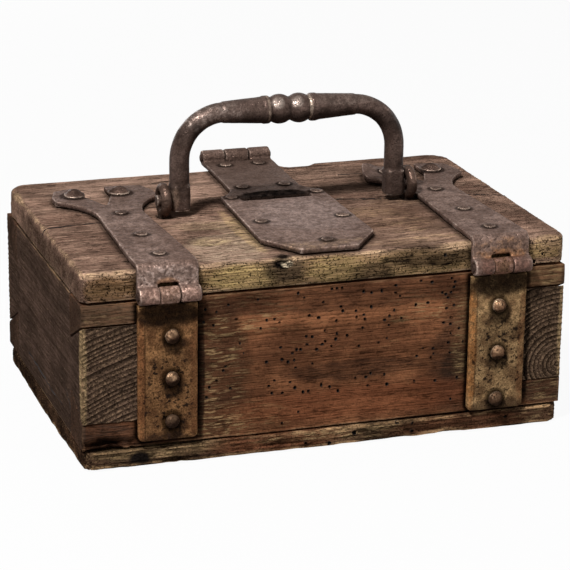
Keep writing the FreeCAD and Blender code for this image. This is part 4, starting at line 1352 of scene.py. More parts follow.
@dataclass
class Forging(Piece):
    """One iron piece: its solid hammered, worn and dressed."""

    finish: IronFinish
    grid: float = 0.7
    beat: float = 0.3
    lump: float = 9.0
    seed: int = 1
    nails: tuple[str, ...] = ()
    flake: float = 2.6
    nick: float = 0.35
    nick_width: float = 5.0
    shade: float = 3.0
    crease: float = 50.0

    def build(self) -> bpy.types.Object:
        """Makes the piece.

        Returns:
            The dressed piece on its body.
        """
        piece = self.evenly_skinned(self.grid, self.finish.material())
        self.hammer(piece.data)
        soften(piece.data, self.crease)
        return self.seat(piece)

    def hammer(self, mesh: bpy.types.Mesh) -> None:
        """Beats the mesh inwards and keeps which places are rubbed.

        Args:
            mesh: The piece's mesh.
        """
        points = points_of(mesh)
        normals = normals_of(mesh)
        blows = noise(points, self.lump, self.seed, 2)
        scale = noise(points, self.flake, self.seed + 3, 2)
        depth = self.beat * (0.7 * blows + 0.3 * scale)
        sharp = self.corners(mesh, normals)
        depth = depth + self.nick * sharp * noise(points, self.nick_width, self.seed + 5, 2)
        self.bend(points)
        # closeness to the nails, which the finish darkens as dirt and painted contact shade
        store(mesh, "dirt", nearness(points, self.nails, self.shade))
        move_points(mesh, points - normals * depth[:, None])
        store(mesh, "wear", sharp)

    def bend(self, points: Array) -> None:
        """Bends the piece out of its straight shape; a plain piece stays as it is."""

    @staticmethod
    def corners(mesh: bpy.types.Mesh, normals: Array) -> Array:
        """Finds the edges that stand out.

        Args:
            mesh: The piece's mesh.
            normals: Its vertex normals.

        Returns:
            From 0 on flat places to 1 on sharp outer edges.
        """
        flat = np.zeros(len(mesh.edges) * 2, np.int32)
        mesh.edges.foreach_get("vertices", flat)
        pairs = flat.reshape(-1, 2)
        points = points_of(mesh)
        run = points[pairs[:, 1]] - points[pairs[:, 0]]
        turn = normals[pairs[:, 1]] - normals[pairs[:, 0]]
        squares = np.einsum("ij,ij->i", run, run)
        bend = np.einsum("ij,ij->i", run, turn) / np.maximum(squares, TINY)
        total = np.zeros(len(points))
        count = np.zeros(len(points))
        for column in (0, 1):
            np.add.at(total, pairs[:, column], bend)
            np.add.at(count, pairs[:, column], 1)
        curve = total / np.maximum(count, 1)
        for _ in range(2):
            spread = np.zeros(len(points))
            np.add.at(spread, pairs[:, 0], curve[pairs[:, 1]])
            np.add.at(spread, pairs[:, 1], curve[pairs[:, 0]])
            curve = 0.5 * curve + 0.5 * spread / np.maximum(count, 1)
        return smooth_step(0.12, 0.55, curve)


@dataclass
class CurledStrap(Forging):
    """A hinge strap with the tip of one arm sprung off the lid; lengths in millimetres."""

    tip_x: float = 74.0
    tip_y: float = 26.0
    tip_end: float = 62.0
    lift: float = 4.0
    curl: float = 1.6
    fade: tuple[float, float] = (2.0, 14.0)

    def bend(self, points: Array) -> None:
        """Lifts the arm's tip.

        Args:
            points: The strap's points, changed in place.
        """
        share = np.clip((points[:, 1] - self.tip_y) / (self.tip_end - self.tip_y), 0, 1)
        side = 1 - smooth_step(*self.fade, points[:, 0] - self.tip_x)
        points[:, 2] += self.lift * share**self.curl * side


class HeadShape(Enum):
    """Kinds of nail head: radius and height from the rim to the crown, in millimetres."""

    FLAT = ((4.15, 0.0), (4.4, 0.35), (4.2, 0.75), (3.6, 1.0), (2.6, 1.12), (1.3, 1.25),
            (0.0, 1.3))
    ROSE = ((7.7, 0.0), (8.0, 0.5), (7.7, 1.2), (6.9, 1.8), (5.9, 2.4), (5.0, 3.2), (4.0, 4.0),
            (2.4, 4.7), (0.0, 5.0))
    DOME = ((4.7, 0.0), (5.0, 0.6), (4.9, 1.7), (4.4, 2.9), (3.4, 3.9), (2.0, 4.55), (0.0, 4.8))


@dataclass
class NailSet(Piece):
    """The nails of one row: forged heads set by the nail tree."""

    head: HeadShape
    finish: IronFinish
    spots: tuple[Point, ...]
    outward: Point
    length: float
    seed: int
    shank: float = 1.9
    clench_radius: float = 1.5
    clench_path: tuple[Point, ...] = ((0.0, 3.0, 1.0), (0.0, 1.0, 1.0), (-0.7, 0.25, 1.0),
                                      (-2.0, 0.0, 1.0), (-6.0, 0.1, 0.85), (-8.6, 0.4, 0.35))
    inside: tuple[float, float] = (107.0, 60.0)
    spread: float = 0.08
    rim_dent: float = 0.24
    rim_lump: float = 2.6
    face_dent: float = 0.36
    face_lump: float = 2.8
    around: int = 22
    clench_around: int = 10

    def head_template(self) -> bpy.types.Object:
        """Makes one nail at the origin, with its head outward.

        Returns:
            The template.
        """
        work = bmesh.new()
        rows = []
        profile = [(self.shank * 0.5, -self.length), (self.shank, -self.length * 0.75),
                   (self.shank, -0.1), *self.head.value[:-1]]
        top = self.head.value[-1][1]
        for radius, height in profile:
            ring = []
            for step in range(self.around):
                angle = math.tau * step / self.around
                spot = np.array([[3 * math.cos(angle), 3 * math.sin(angle), height * 0.7]])
                rim, sink = 1.0, 1.0
                if height >= 0:
                    rim -= self.rim_dent * noise(spot, self.rim_lump, self.seed + 40, 2)[0]
                if height > 0:
                    dents = noise(spot + 9.0, self.face_lump, self.seed + 60, 2)[0]
                    sink -= self.face_dent * dents
                wide = radius * rim
                place = (wide * math.cos(angle), wide * math.sin(angle), height * sink)
                ring.append(work.verts.new(place))
            rows.append(ring)
        crown = work.verts.new((0.0, 0.0, top * 0.9))
        point = work.verts.new((0.0, 0.0, -self.length - 0.4))
        skin(work, rows)
        for step in range(self.around):
            after = (step + 1) % self.around
            work.faces.new((rows[-1][step], rows[-1][after], crown))
            work.faces.new((rows[0][after], rows[0][step], point))
        return self.template(work, "nail_template")

    def clench_template(self) -> bpy.types.Object:
        """Makes the bent-over point of a nail below the lid.

        Returns:
            The template.
        """
        work = bmesh.new()
        rows = []
        for reach, rise, share in self.clench_path:
            radius = self.clench_radius * share
            upright = max(0.0, min(1.0, 1 + reach / 1.4))
            base = Vector((0, reach, self.clench_radius - self.length + rise))
            ring = []
            for step in range(self.clench_around):
                angle = math.tau * step / self.clench_around
                over, up = radius * math.cos(angle), radius * math.sin(angle)
                rim = Vector((over, -upright * up, (upright - 1) * up))
                ring.append(work.verts.new(base + rim))
            rows.append(ring)
        skin(work, rows)
        close_ends(work, rows)
        return self.template(work, "clench_template")

    def template(self, work: bmesh.types.BMesh, name: str) -> bpy.types.Object:
        """Turns a nail drawn along the vertical to its own direction.

        Args:
            work: The nail in millimetres.
            name: The template's name.

        Returns:
            The template object.
        """
        turn = Vector((0, 0, 1)).rotation_difference(Vector(self.outward)).to_matrix().to_4x4()
        bmesh.ops.transform(work, matrix=turn @ Matrix.Scale(MM, 4), verts=work.verts)
        mesh = bpy.data.meshes.new(name)
        work.to_mesh(mesh)
        work.free()
        mesh.polygons.foreach_set("use_smooth", [True] * len(mesh.polygons))
        return new_object(name, mesh)

    def build(self) -> bpy.types.Object:
        """Sets the nails.

        Returns:
            The dressed nails on their body.
        """
        head = self.head_template()
        clench = self.clench_template()
        mesh = bpy.data.meshes.new(f"{self.node}_piece")
        mesh.from_pydata([tuple(v * MM for v in spot) for spot in self.spots], [], [])
        reach_x, reach_y = self.inside
        over = [abs(x) < reach_x and abs(y) < reach_y and self.outward[2] > 0
                for x, y, _ in self.spots]
        store(mesh, "clenched", np.array(over, float))
        piece = new_object(f"{self.node}_piece", mesh)
        NAILS.apply(piece, head=head, clench=clench, spin_axis=self.outward, spread=self.spread,
                    seed=self.seed, finish=self.finish.material())
        discard(head)
        discard(clench)
        store(piece.data, "wear", Forging.corners(piece.data, normals_of(piece.data)))
        return self.seat(piece)


class SubAssembly:
    """Pieces that are built and dressed together."""

    def pieces(self) -> list[Piece]:
        """Lists the pieces; each sub-assembly has its own."""
        raise NotImplementedError

    def build(self) -> list[bpy.types.Object]:
        """Builds and dresses every piece."""
        return [piece.build() for piece in self.pieces()]


@dataclass
class Case(SubAssembly):
    """The dovetailed case: base, two ends and two long walls; lengths in millimetres."""

    front: float = -97.0
    back: float = 97.0
    base_front: float = -99.0
    half_width: float = 145.0
    tail_middle: float = 127.0
    tail_edge: float = 121.6

    def pieces(self) -> list[Board]:
        """Lists the case's boards.

        Returns:
            The boards with their growth, wear and finish.
        """
        ends = [self.end("left", -1), self.end("right", 1)]
        return [self.base(), *ends, self.hinge_side(), self.hasp_side()]

    def base(self) -> Board:
        """The base board, worn most along its lower edges.

        Returns:
            The board.
        """
        cream = (150, 124, 90)
        front = self.base_front
        patches = (
            ColourPatch((-100, front, 9), (44, 8, 5), cream, 0.75, 1.4, 0.7),
            ColourPatch((-30, front, 8), (44, 8, 8), (112, 70, 48), 0.75, 1.2, 0.4),
            ColourPatch((-6, front, 8), (40, 8, 3), cream, 0.8, 1.6, 0.9),
            ColourPatch((18, front, 8), (34, 8, 5), cream, 0.75, 1.8, 0.9),
            ColourPatch((-112, front, 5), (6.5, 6, 4.6), (26, 21, 19), 1.0, 0.2, 0.0),
            ColourPatch((80, front, 5), (44, 8, 8), (98, 63, 44), 0.7, 1.2, 0.4),
            ColourPatch((132, front, 8), (16, 8, 6), cream, 0.5, 1.6, 1.0),
        )
        finish = WoodFinish(
            "wood_base_worn", Axis.X, (76, 55, 41), (44, 32, 25), (138, 112, 80), (138, 110, 80),
            late=0.5, streak=0.3, fleck=0.5, soil=0.35, pore=0.6, speck=0.5, relief=0.7,
            patches=patches)
        course = ((-145, 1.0), (-60, 0.9), (20, 1.0), (82, 1.5), (90, 0.5), (145, 0.8))
        edges = (
            WornEdge(Axis.X, (-1, -1), 3.6, 0.7, course),
            WornEdge(Axis.X, (-1, 1), 3.0, 0.8),
            WornEdge(Axis.X, (1, -1), 3.0, 0.8),
            WornEdge(Axis.Y, (-1, -1), 4.0, 0.7),
            WornEdge(Axis.Y, (1, -1), 3.0, 0.7),
            WornEdge(Axis.Y, (-1, 1), 1.4, 0.8),
            WornEdge(Axis.Y, (1, 1), 1.4, 0.8),
            WornEdge(Axis.Z, (-1, -1), 5.0, 0.4),
            WornEdge(Axis.Z, (1, -1), 3.5, 0.4),
        )
        worms = (WormField((40, front, 6), (90, 0, 0), 150, 9, 4.0, 0.5, 0.75, 5, 9000.0),)
        hollows = (
            Hollow((20, front, 7), (9, 3, 2.5), 1.2, 0.5),
            Hollow((-30, front, 5), (22, 3, 2), 0.9, 0.5),
            Hollow((-60, front, 10), (14, 3, 2), 1.1, 0.5),
            Hollow((62, front, 4), (18, 3, 2.5), 1.2, 0.6),
            Hollow((-92, front, 2), (16, 4, 3), 1.4, 0.6),
        )
        growth = Growth(Axis.X, (-20, -60), 1.6, 6, 3)
        return Board("base_board", Ride.BOX, "wood_base", 1.25, growth, finish, edges, 11,
                     worms=worms, hollows=hollows, warp=0.7, relief=0.8)

    def end(self, name: str, side: int) -> Board:
        """An end board with its end grain showing in front.

        Args:
            name: Left or right.
            side: -1 for the left, 1 for the right.

        Returns:
            The board.
        """
        left = side < 0
        outer, middle = side * self.half_width, side * self.tail_middle
        soil = (74, 58, 45) if left else (82, 65, 50)
        patches = (
            ColourPatch((middle, self.front, 56), (30, 6, 46), soil, 0.85, 0.6, 0.4),
            ColourPatch((outer, -96, 56), (3.4, 5, 40), (178, 150, 110), 0.85, 1.2, 0.6),
            ColourPatch((middle, self.back, 56), (30, 6, 46), (84, 66, 52), 0.8, 0.6, 0.4),
            ColourPatch((outer, 20, 84), (6, 90, 9), (58, 46, 38), 0.6),
            # painted shadow of the right hinge's wall leaf along its right edge
            ColourPatch((self.tail_edge, self.front, 52), (2.2, 6, 46), (24, 18, 14), 0.85, 0.5, 0.2),
        )
        finish = WoodFinish(
            f"wood_wall_{name}_end", Axis.Y, (78, 61, 52), (64, 50, 42), (126, 102, 80),
            (132, 106, 80), late=0.3, front_late=0.65, streak=0.18, fleck=0.3, soil=0.12,
            pore=0.45, speck=0.35, front_speck=0.2, relief=0.7, patches=patches)
        edges = (
            WornEdge(Axis.Z, (side, -1), 1.8, 0.7),
            WornEdge(Axis.Z, (side, 1), 2.0, 0.7),
            WornEdge(Axis.Y, (side, 1), 1.2, 0.7),
            WornEdge(Axis.Y, (side, -1), 1.0, 0.7),
        )
        cracks = (
            Crack((outer, -58, 36), (outer, -90, 15), 1.3, 4, (-side, 0, 0), 31),
            Crack((outer, 40, 25), (outer, -46, 22), 0.9, 3, (-side, 0, 0), 33),
        )
        pith, spacing = ((-16, -223), 2.7) if left else ((142, 36), 2.9)
        growth = Growth(Axis.Y, pith, spacing, 3, 5 + side)
        return Board(f"{name}_end_board", Ride.BOX, "wood_wall", 0.95, growth, finish, edges,
                     30 + side, cracks=cracks, warp=0.4, relief=0.6)

    def side_ends(self) -> tuple[ColourPatch, ...]:
        """The grimy ends of a long wall on the case's two sides."""
        places = [(side * self.half_width, y, 55) for side in (-1, 1) for y in (-84, 84)]
        return tuple(ColourPatch(place, (3.2, 40, 60), (60, 47, 39), 1.0, 0.3, 0.2) for place in places)

    def hinge_side(self) -> Board:
        """The bored red-brown wall that carries the hinges.

        Returns:
            The board.
        """
        cream = (142, 116, 82)
        patches = (
            *on_wall(self.front, (
                (-68, 55, 20, 54, (54, 38, 28), 0.8, 1.4, 0.3),
                (-70, 58, 20, 50, cream, 0.8, 1.2, 1.0),
                (-48, 86, 34, 14, cream, 0.7, 1.6, 1.0),
                (-55, 22, 34, 11, cream, 0.8, 1.4, 0.95),
                (-28, 56, 26, 16, (62, 42, 30), 0.2, 1.4, 0.4),
                (16, 45, 44, 6, (40, 28, 22), 0.75, 1.2, 0.4),
                (78, 48, 16, 40, (60, 42, 32), 0.7, 1.4, 0.4),
                (78, 38, 10, 14, (42, 32, 26), 0.85, 1.2, 0.3),
                (83, 62, 8, 34, cream, 0.75, 1.4, 0.9),
                (60, 80, 26, 12, cream, 0.6, 1.8, 1.0),
                (20, 26, 90, 10, (104, 60, 39), 0.6, 1.2, 0.3),
                (10, 91, 100, 12, (70, 45, 32), 0.75, 1.2, 0.4),
                (-130, 91, 20, 10, (96, 75, 58), 1.0, 0.6, 0.3),
                (-132, 88, 14, 3, cream, 0.5, 1.4, 1.0),
                (134, 91, 16, 10, (108, 83, 61), 1.0, 0.6, 0.4),
                (134, 92, 14, 6, cream, 0.8, 1.4, 1.0),
                (134, 20, 16, 11, (62, 46, 35), 1.0, 0.8, 0.3),
                (134, 20, 14, 9, cream, 0.5, 1.4, 1.0),
                (-130, 19, 20, 10, (62, 44, 34), 1.0, 0.6, 0.4),
                # painted shadow of the left wall leaf along its right edge
                (-76, 52, 2.4, 46, (26, 18, 14), 0.85, 0.5, 0.2),
                # painted shadow below the left wall leaf
                (-96, 13.5, 24, 3, (22, 15, 11), 0.9, 0.5, 0.2),
                # painted shadow of the right wall leaf along its right edge
                (self.tail_edge, 52, 2.2, 46, (24, 17, 13), 0.85, 0.5, 0.2),
            )),
            *self.side_ends(),
        )
        finish = WoodFinish(
            "wood_wall_hinge_side", Axis.X, (124, 81, 55), (93, 59, 40), (144, 107, 74),
            (118, 88, 64), late=0.55, streak=0.2, fleck=0.25, soil=0.15, pore=0.5, speck=0.25,
            rough=0.6, relief=0.35, patches=patches)
        edges = (
            WornEdge(Axis.X, (-1, 1), 1.3, 0.8),
            WornEdge(Axis.X, (-1, -1), 1.3, 0.8),
            WornEdge(Axis.Z, (-1, -1), 2.4, 0.7),
            WornEdge(Axis.Z, (1, -1), 2.4, 0.7),
        )
        worms = (
            WormField((4, self.front, 64), (90, 0, 0), 158, 62, 2.4, 0.58, 0.62, 4, 20000.0),
            WormField((6, self.front, 25), (90, 0, 0), 150, 18, 6.0, 0.45, 0.6, 9, 4000.0),
        )
        hollows = (Hollow((-131, self.front, 15), (21, 7, 5.5), 3.0, 0.8),)
        growth = Growth(Axis.X, (-190, 120), 0.9, 4, 9)
        return Board("hinge_side_board", Ride.BOX, "wood_wall", 1.0, growth, finish, edges, 51,
                     worms=worms, hollows=hollows, warp=0.4, relief=0.35,
                     irons=("left_hinge_plate", "right_hinge_plate"))

    def hasp_side(self) -> Board:
        """The wall on the far side, behind the hasp.

        Returns:
            The board.
        """
        patches = (
            *on_wall(self.back, (
                (-60, 40, 50, 20, (70, 46, 34), 0.6),
                (50, 70, 40, 14, (124, 98, 68), 0.45, 2.0, 0.9),
                (2.8, 80, 22, 34, (56, 42, 34), 0.6, 1.0),
                (-130, 91, 18, 8, (104, 84, 60), 0.7, 0.8, 0.7),
                (134, 20, 14, 9, (118, 92, 64), 0.6, 1.4, 0.8),
            )),
            *self.side_ends(),
        )
        finish = WoodFinish(
            "wood_wall_hasp_side", Axis.X, (106, 70, 50), (78, 51, 37), (134, 100, 70),
            (118, 88, 64), late=0.5, streak=0.22, fleck=0.3, soil=0.2, pore=0.5, speck=0.25,
            relief=0.4, patches=patches)
        edges = (
            WornEdge(Axis.X, (1, 1), 1.5, 0.8),
            WornEdge(Axis.X, (1, -1), 1.4, 0.8),
            WornEdge(Axis.Z, (-1, 1), 2.4, 0.7),
            WornEdge(Axis.Z, (1, 1), 2.4, 0.7),
        )
        worms = (WormField((-60, self.back, 55), (90, 0, 0), 120, 60, 5.0, 0.46, 0.9, 14),)
        growth = Growth(Axis.X, (150, 130), 1.0, 4, 15)
        return Board("hasp_side_board", Ride.BOX, "wood_wall", 1.1, growth, finish, edges, 61,
                     worms=worms, warp=0.5, relief=0.4)


@dataclass
class Lid(SubAssembly):
    """The lid board; lengths in millimetres."""

    top: float = 115.9
    front: float = -97.0
    irons: tuple[str, ...] = ("left_hinge_strap", "right_hinge_strap", "slot_plate",
                              "left_handle_eye", "right_handle_eye")

    def patches(self) -> tuple[ColourPatch, ...]:
        """The pale and dark places of the top, the front edge and the ends.

        Returns:
            The patches.
        """
        return (
            *on_top(self.top, (
                (-60, 66, 70, 34, (156, 127, 110), 0.7, 1.0, 0.3),
                (-55, -72, 22, 28, (182, 158, 134), 0.8, 1.8, 0.7),
                (-38, -50, 10, 36, (178, 153, 126), 0.7, 1.6, 0.7),
                (-54, -22, 22, 9, (180, 154, 122), 0.65, 2.0, 0.8),
                (60, -60, 26, 28, (122, 98, 82), 0.6, 1.4, 0.5),
                (55, -84, 34, 8, (160, 130, 102), 0.6, 2.0, 0.85),
                (-122, -40, 14, 60, (84, 64, 54), 0.5, 1.6, 0.5),
                (60, 56, 60, 34, (98, 78, 66), 0.6, 1.4, 0.5),
                (60, -36, 24, 30, (112, 84, 68), 0.65, 1.4, 0.4),
                (62, -52, 16, 26, (190, 156, 122), 0.5, 1.8, 1.0),
                (46, -22, 20, 9, (172, 140, 108), 0.7, 2.0, 0.85),
                (74, -4, 18, 8, (160, 128, 100), 0.6, 2.0, 0.85),
                (72, -80, 22, 6, (186, 154, 118), 0.7, 2.0, 0.9),
                (-35, -40, 5, 44, (196, 164, 118), 0.85, 1.4, 0.75),
                (-58, -56, 12, 8, (200, 172, 128), 0.8, 1.8, 0.8),
            )),
            ColourPatch((0, self.front, 106), (152, 3.4, 10), (150, 121, 82), 0.85, 1.0, 0.4),
            ColourPatch((70, self.front, 106), (60, 3.4, 10), (190, 158, 110), 0.85, 1.4, 0.8),
            ColourPatch((-125, self.front, 106), (22, 3.4, 10), (112, 84, 58), 0.85, 1.0, 0.4),
            ColourPatch((-90, self.front, 104), (14, 4, 10), (60, 48, 36), 0.8, 1.0),
            ColourPatch((-62, self.front, 106), (14, 4, 11), (92, 72, 48), 0.6, 1.0),
            ColourPatch((-52, self.front, 106), (20, 3.4, 9), (182, 154, 104), 0.85, 1.2, 0.5),
            ColourPatch((4, self.front, 106), (18, 3.4, 9), (182, 154, 104), 0.8, 1.4, 0.6),
            ColourPatch((134, self.front, 109), (13, 4, 8), (182, 150, 104), 0.7, 1.2, 0.6),
            ColourPatch((64, self.front, 110), (34, 6, 6), (62, 47, 35), 0.9, 1.4, 0.45),
            ColourPatch((25, self.front, 102), (13, 6, 6), (56, 42, 32), 0.85, 1.4, 0.45),
            ColourPatch((60, self.front, 108), (50, 4, 5), (32, 25, 20), 0.9, 2.0, 0.9),
            ColourPatch((40, self.front, 101), (90, 4, 3), (38, 29, 23), 0.8, 1.6, 0.8),
            ColourPatch((-27, self.front, 110), (13, 9, 9), (44, 36, 31), 0.85, 1.0, 0.3),
            # black core of the knot hole: painted shade in the hole over dark knot wood
            ColourPatch((-28, self.front, 112.5), (6.5, 9, 4), (15, 12, 11), 1.0, 0.6, 0.1),
            ColourPatch((-25.6, self.front, 111.6), (4.0, 9, 2.4), (214, 194, 164), 0.9, 1.6, 0.85),
            ColourPatch((-147, -20, 106), (4, 110, 10), (78, 61, 50), 0.9, 0.6, 0.4),
            ColourPatch((145, -20, 106), (4, 90, 10), (110, 88, 60), 0.6, 0.8),
        )

    def pieces(self) -> list[Board]:
        """Lists the lid's one board.

        Returns:
            The board with its growth, splits and finish.
        """
        top = self.top
        finish = WoodFinish(
            "wood_lid_weathered", Axis.X, (138, 110, 94), (110, 85, 72), (172, 148, 126),
            (160, 132, 104), late=0.4, streak=0.28, fleck=0.45, soil=0.2, pore=0.65, speck=0.3,
            front_speck=0.45, contact=0.4, relief=0.6, patches=self.patches())
        edges = (
            WornEdge(Axis.X, (-1, 1), 4.2, 0.8),
            WornEdge(Axis.X, (-1, -1), 2.2, 0.7),
            WornEdge(Axis.Y, (-1, 1), 4.2, 0.9),
            WornEdge(Axis.Y, (-1, -1), 1.8, 0.7),
            WornEdge(Axis.Y, (1, 1), 4.0, 0.8),
            WornEdge(Axis.Y, (1, -1), 1.6, 0.7),
            WornEdge(Axis.X, (1, 1), 1.6, 0.8),
            WornEdge(Axis.X, (1, -1), 1.6, 0.7),
            WornEdge(Axis.Z, (1, -1), 7.0, 0.2),
            WornEdge(Axis.Z, (-1, -1), 2.6, 0.3),
        )
        cracks = (
            Crack((-147, -5, top), (-110, -1, top), 2.1, 8, seed=3),
            Crack((38, 11, top), (80, 1, top), 1.3, 5, seed=5),
            Crack((122, -2, top), (146, -12, top), 1.0, 4, seed=8),
            Crack((60, 62, top), (118, 60, top), 0.9, 4, seed=12),
            Crack((-60, 74, top), (-40, 77, top), 0.8, 4, seed=14),
        )
        hollows = (
            Hollow((-27, self.front, 113.5), (6.5, 7, 4), 4.0, 0.15),
            Hollow((-90, self.front, 116), (12, 7, 5), 1.6, 0.2),
            Hollow((118, self.front, 116), (12, 8, 5), 1.8, 0.2),
            Hollow((66, self.front, 115), (20, 5, 4), 1.2, 0.2),
        )
        worms = (
            WormField((60, self.front, 106), (90, 0, 0), 60, 10, 5.0, 0.46, 0.6, 21, 9000.0),
            WormField((134, self.front, 105), (90, 0, 0), 20, 10, 6.0, 0.6, 0.7, 22, 9000.0),
        )
        growth = Growth(Axis.X, (70, -110), 1.1, 6, 21)
        return [Board("lid_board", Ride.LID, "wood_lid", 1.2, growth, finish, edges, 71,
                      cracks=cracks, worms=worms, hollows=hollows, irons=self.irons, warp=0.5,
                      relief=0.5)]


IRON_FOOT = ColourPatch((0, 0, 115.4), (400, 400, 2.9), (60, 46, 39), 0.6, 0.2, 0.3)


def strap_iron(name: str, patches: tuple[ColourPatch, ...] = ()) -> IronFinish:
    """The brown iron on the lid.

    Args:
        name: The finish's name.
        patches: Its stains.

    Returns:
        The finish.
    """
    return IronFinish(name, (126, 104, 94), (100, 80, 71), (196, 176, 162), grit=0.34, metal=0.45,
                      rough=0.38, rub=0.5, pits=0.4, patches=patches)


def head_iron(name: str) -> IronFinish:
    """The darker iron of the flat nail heads.

    Args:
        name: The finish's name.

    Returns:
        The finish.
    """
    return IronFinish(name, (104, 84, 74), (70, 55, 48), (180, 158, 142), grit=0.3, metal=0.5,
                      rough=0.34, rub=0.45)


@dataclass(frozen=True)
class HingeTone:
    """What sets one hinge's iron apart from the other's."""

    rust_width: float
    # colour over the bend: a painted highlight on the left hinge, rust on the right
    bend: Rgb
    barrel: Rgb
    barrel_strength: float
    strap_glint: float
    plate_glint: float
    rim: Rgb
    soot: float
    knuckle: Rgb
    body: Rgb
    dark: Rgb


LEFT_TONE = HingeTone(7.0, (186, 166, 156), (124, 88, 76), 0.6, 0.34, 0.3, (110, 70, 44), 0.5,
                      (124, 96, 84), (134, 97, 64), (92, 63, 41))
RIGHT_TONE = HingeTone(16.0, (146, 108, 76), (90, 58, 48), 0.9, 0.12, 0.12, (150, 98, 54), 0.9,
                       (92, 62, 52), (158, 127, 90), (108, 82, 57))


@dataclass
class StrapHinge(SubAssembly):
    """One strap hinge: lid leaf, wall plate, pin and nails; lengths in millimetres."""

    name: str
    across: float
    plate_drop: tuple[float, float, float]
    tone: HingeTone
    sprung: bool = False
    lean: float = 0.0
    plate_lean: float = 0.0
    lid_top: float = 119.5
    wall_face: float = -100.6
    rows: tuple[float, float, float] = (1.5, -43.5, -82.5)
    rose: tuple[float, float] = (13.6, 45.0)
    lid_nail: float = 24.6
    wall_nail: float = 22.0

    def pieces(self) -> list[Forging | NailSet]:
        """Lists the hinge's pieces.

        Returns:
            The forgings and nails with their finish.
        """
        return [*self.leaves(), *self.nails()]

    def strap_rust_and_light(self) -> tuple[ColourPatch, ...]:
        """The wear, rust and darker sides of the lid leaf, with painted highlights on the barrel
        and, on the left hinge, the bend, and painted shade under the barrel.

        Returns:
            The patches.
        """
        x, tone = self.across, self.tone
        return (
            ColourPatch((x, 42, self.lid_top), (50, 34, 6), (84, 66, 58), 0.6, 0.8, 0.3),
            ColourPatch((x, 0, 114.6), (40, 90, 3.4), (42, 32, 27), 0.85, 0.2, 0.3),
            # over the bend: a painted highlight on the left hinge, rust on the right
            ColourPatch((x, -100, 111), (19, 6, 7), tone.bend, 0.4, 1.0, 0.8),
            ColourPatch((x, -101, 108), (tone.rust_width, 5, 3), (152, 108, 72), 0.65, 1.4, 0.5),
            ColourPatch((x, -105, 102), (19, 6, 7), tone.barrel, tone.barrel_strength, 1.0, 0.4),
            # painted highlight on the barrel
            ColourPatch((x, -105, 103), (19, 5, 5), (196, 168, 152), tone.strap_glint, 0.8, 0.7),
            # painted shade under the barrel
            ColourPatch((x, -104, 95.5), (22, 6, 2.5), (36, 27, 23), 0.85, 0.3, 0.2),
        )

    def plate_crust_and_shadows(self) -> tuple[ColourPatch, ...]:
        """The crust of the wall leaf, darker along its bottom, with painted shadows under its
        barrel and nails and a painted highlight on its knuckle.

        Returns:
            The patches.
        """
        x, tone = self.across, self.tone
        middle = x + self.plate_lean
        return (
            ColourPatch((x - 16, -100, 50), (3.2, 6, 42), tone.rim, 0.75, 0.8, 0.4),
            ColourPatch((x - 13.4, -100, 50), (0.7, 6, 40), (40, 27, 19), 0.7, 0.4, 0.5),
            ColourPatch((x + 15.5, -100, 50), (3.0, 6, 42), (96, 62, 40), 0.7, 0.8, 0.4),
            ColourPatch((x, -100, 42), (17, 6, 26), (22, 17, 14), 0.95, 1.4, 0.9),
            ColourPatch((x + 3, -100, 62), (13, 6, 8), (22, 17, 14), tone.soot, 1.4, 0.72),
            # painted shadow below each nail head
            *[ColourPatch((middle + 1, -100, drop - 5), (7, 6, 7), (24, 17, 13), 0.85, 1.2, 0.3)
              for drop in self.plate_drop],
            # painted shadow under the barrel
            ColourPatch((x, -100, 90), (22, 6, 8), (26, 18, 13), 0.95, 0.7, 0.2),
            ColourPatch((x, -100, 15), (20, 6, 5), (44, 31, 24), 0.8, 1.2, 0.3),
            ColourPatch((x, -104, 102), (22, 6, 7), tone.knuckle, 0.95, 0.2, 0.2),
            # painted highlight on the knuckle
            ColourPatch((x, -105, 103), (19, 5, 5), (196, 168, 152), tone.plate_glint, 0.8, 0.7),
        )

    def nail_shade_and_glints(self) -> tuple[ColourPatch, ...]:
        """The shade and the glint of the wall leaf's nails.

        Returns:
            The patches.
        """
        middle = self.across + self.plate_lean
        brown, pale = (34, 23, 17), (190, 154, 120)
        # painted shade on the lower side of each head
        shades = [ColourPatch((middle + 1, -104, drop - 4), (6, 9, 3.4), brown, 0.9, 0.8, 0.2)
                  for drop in self.plate_drop]
        # painted highlight on the upper side of each head
        glints = [ColourPatch((middle - 1, -105, drop + 2.4), (3.4, 6, 2.2), pale, 0.4, 1.2, 0.6)
                  for drop in self.plate_drop]
        lowest = ColourPatch((middle, -104, self.plate_drop[-1]), (9, 9, 8), (44, 32, 26), 0.75, 0.8, 0.3)
        return (*shades, *glints, lowest)

    def leaves(self) -> list[Forging]:
        """Lists the two leaves.

        Returns:
            The lid leaf and the wall leaf with their finish.
        """
        name, tone = self.name, self.tone
        strap = strap_iron(f"iron_strap_{name}", self.strap_rust_and_light())
        plate = IronFinish(f"iron_plate_{name}", tone.body, tone.dark, (168, 136, 96), grain=0.8,
                           grit=0.4, metal=0.1, rough=0.5, relief=0.35, rub=0.3,
                           patches=self.plate_crust_and_shadows())
        maker = CurledStrap if self.sprung else Forging
        return [
            maker(f"{name}_hinge_strap", Ride.LID, "iron_strap", strap, seed=3 + self.sprung,
                  nails=(f"{name}_strap_nails", f"{name}_fishtail_nails")),
            Forging(f"{name}_hinge_plate", Ride.BOX, "iron_plate", plate, grid=0.6, beat=0.35,
                    seed=7 + self.sprung, nails=(f"{name}_plate_nails",)),
        ]

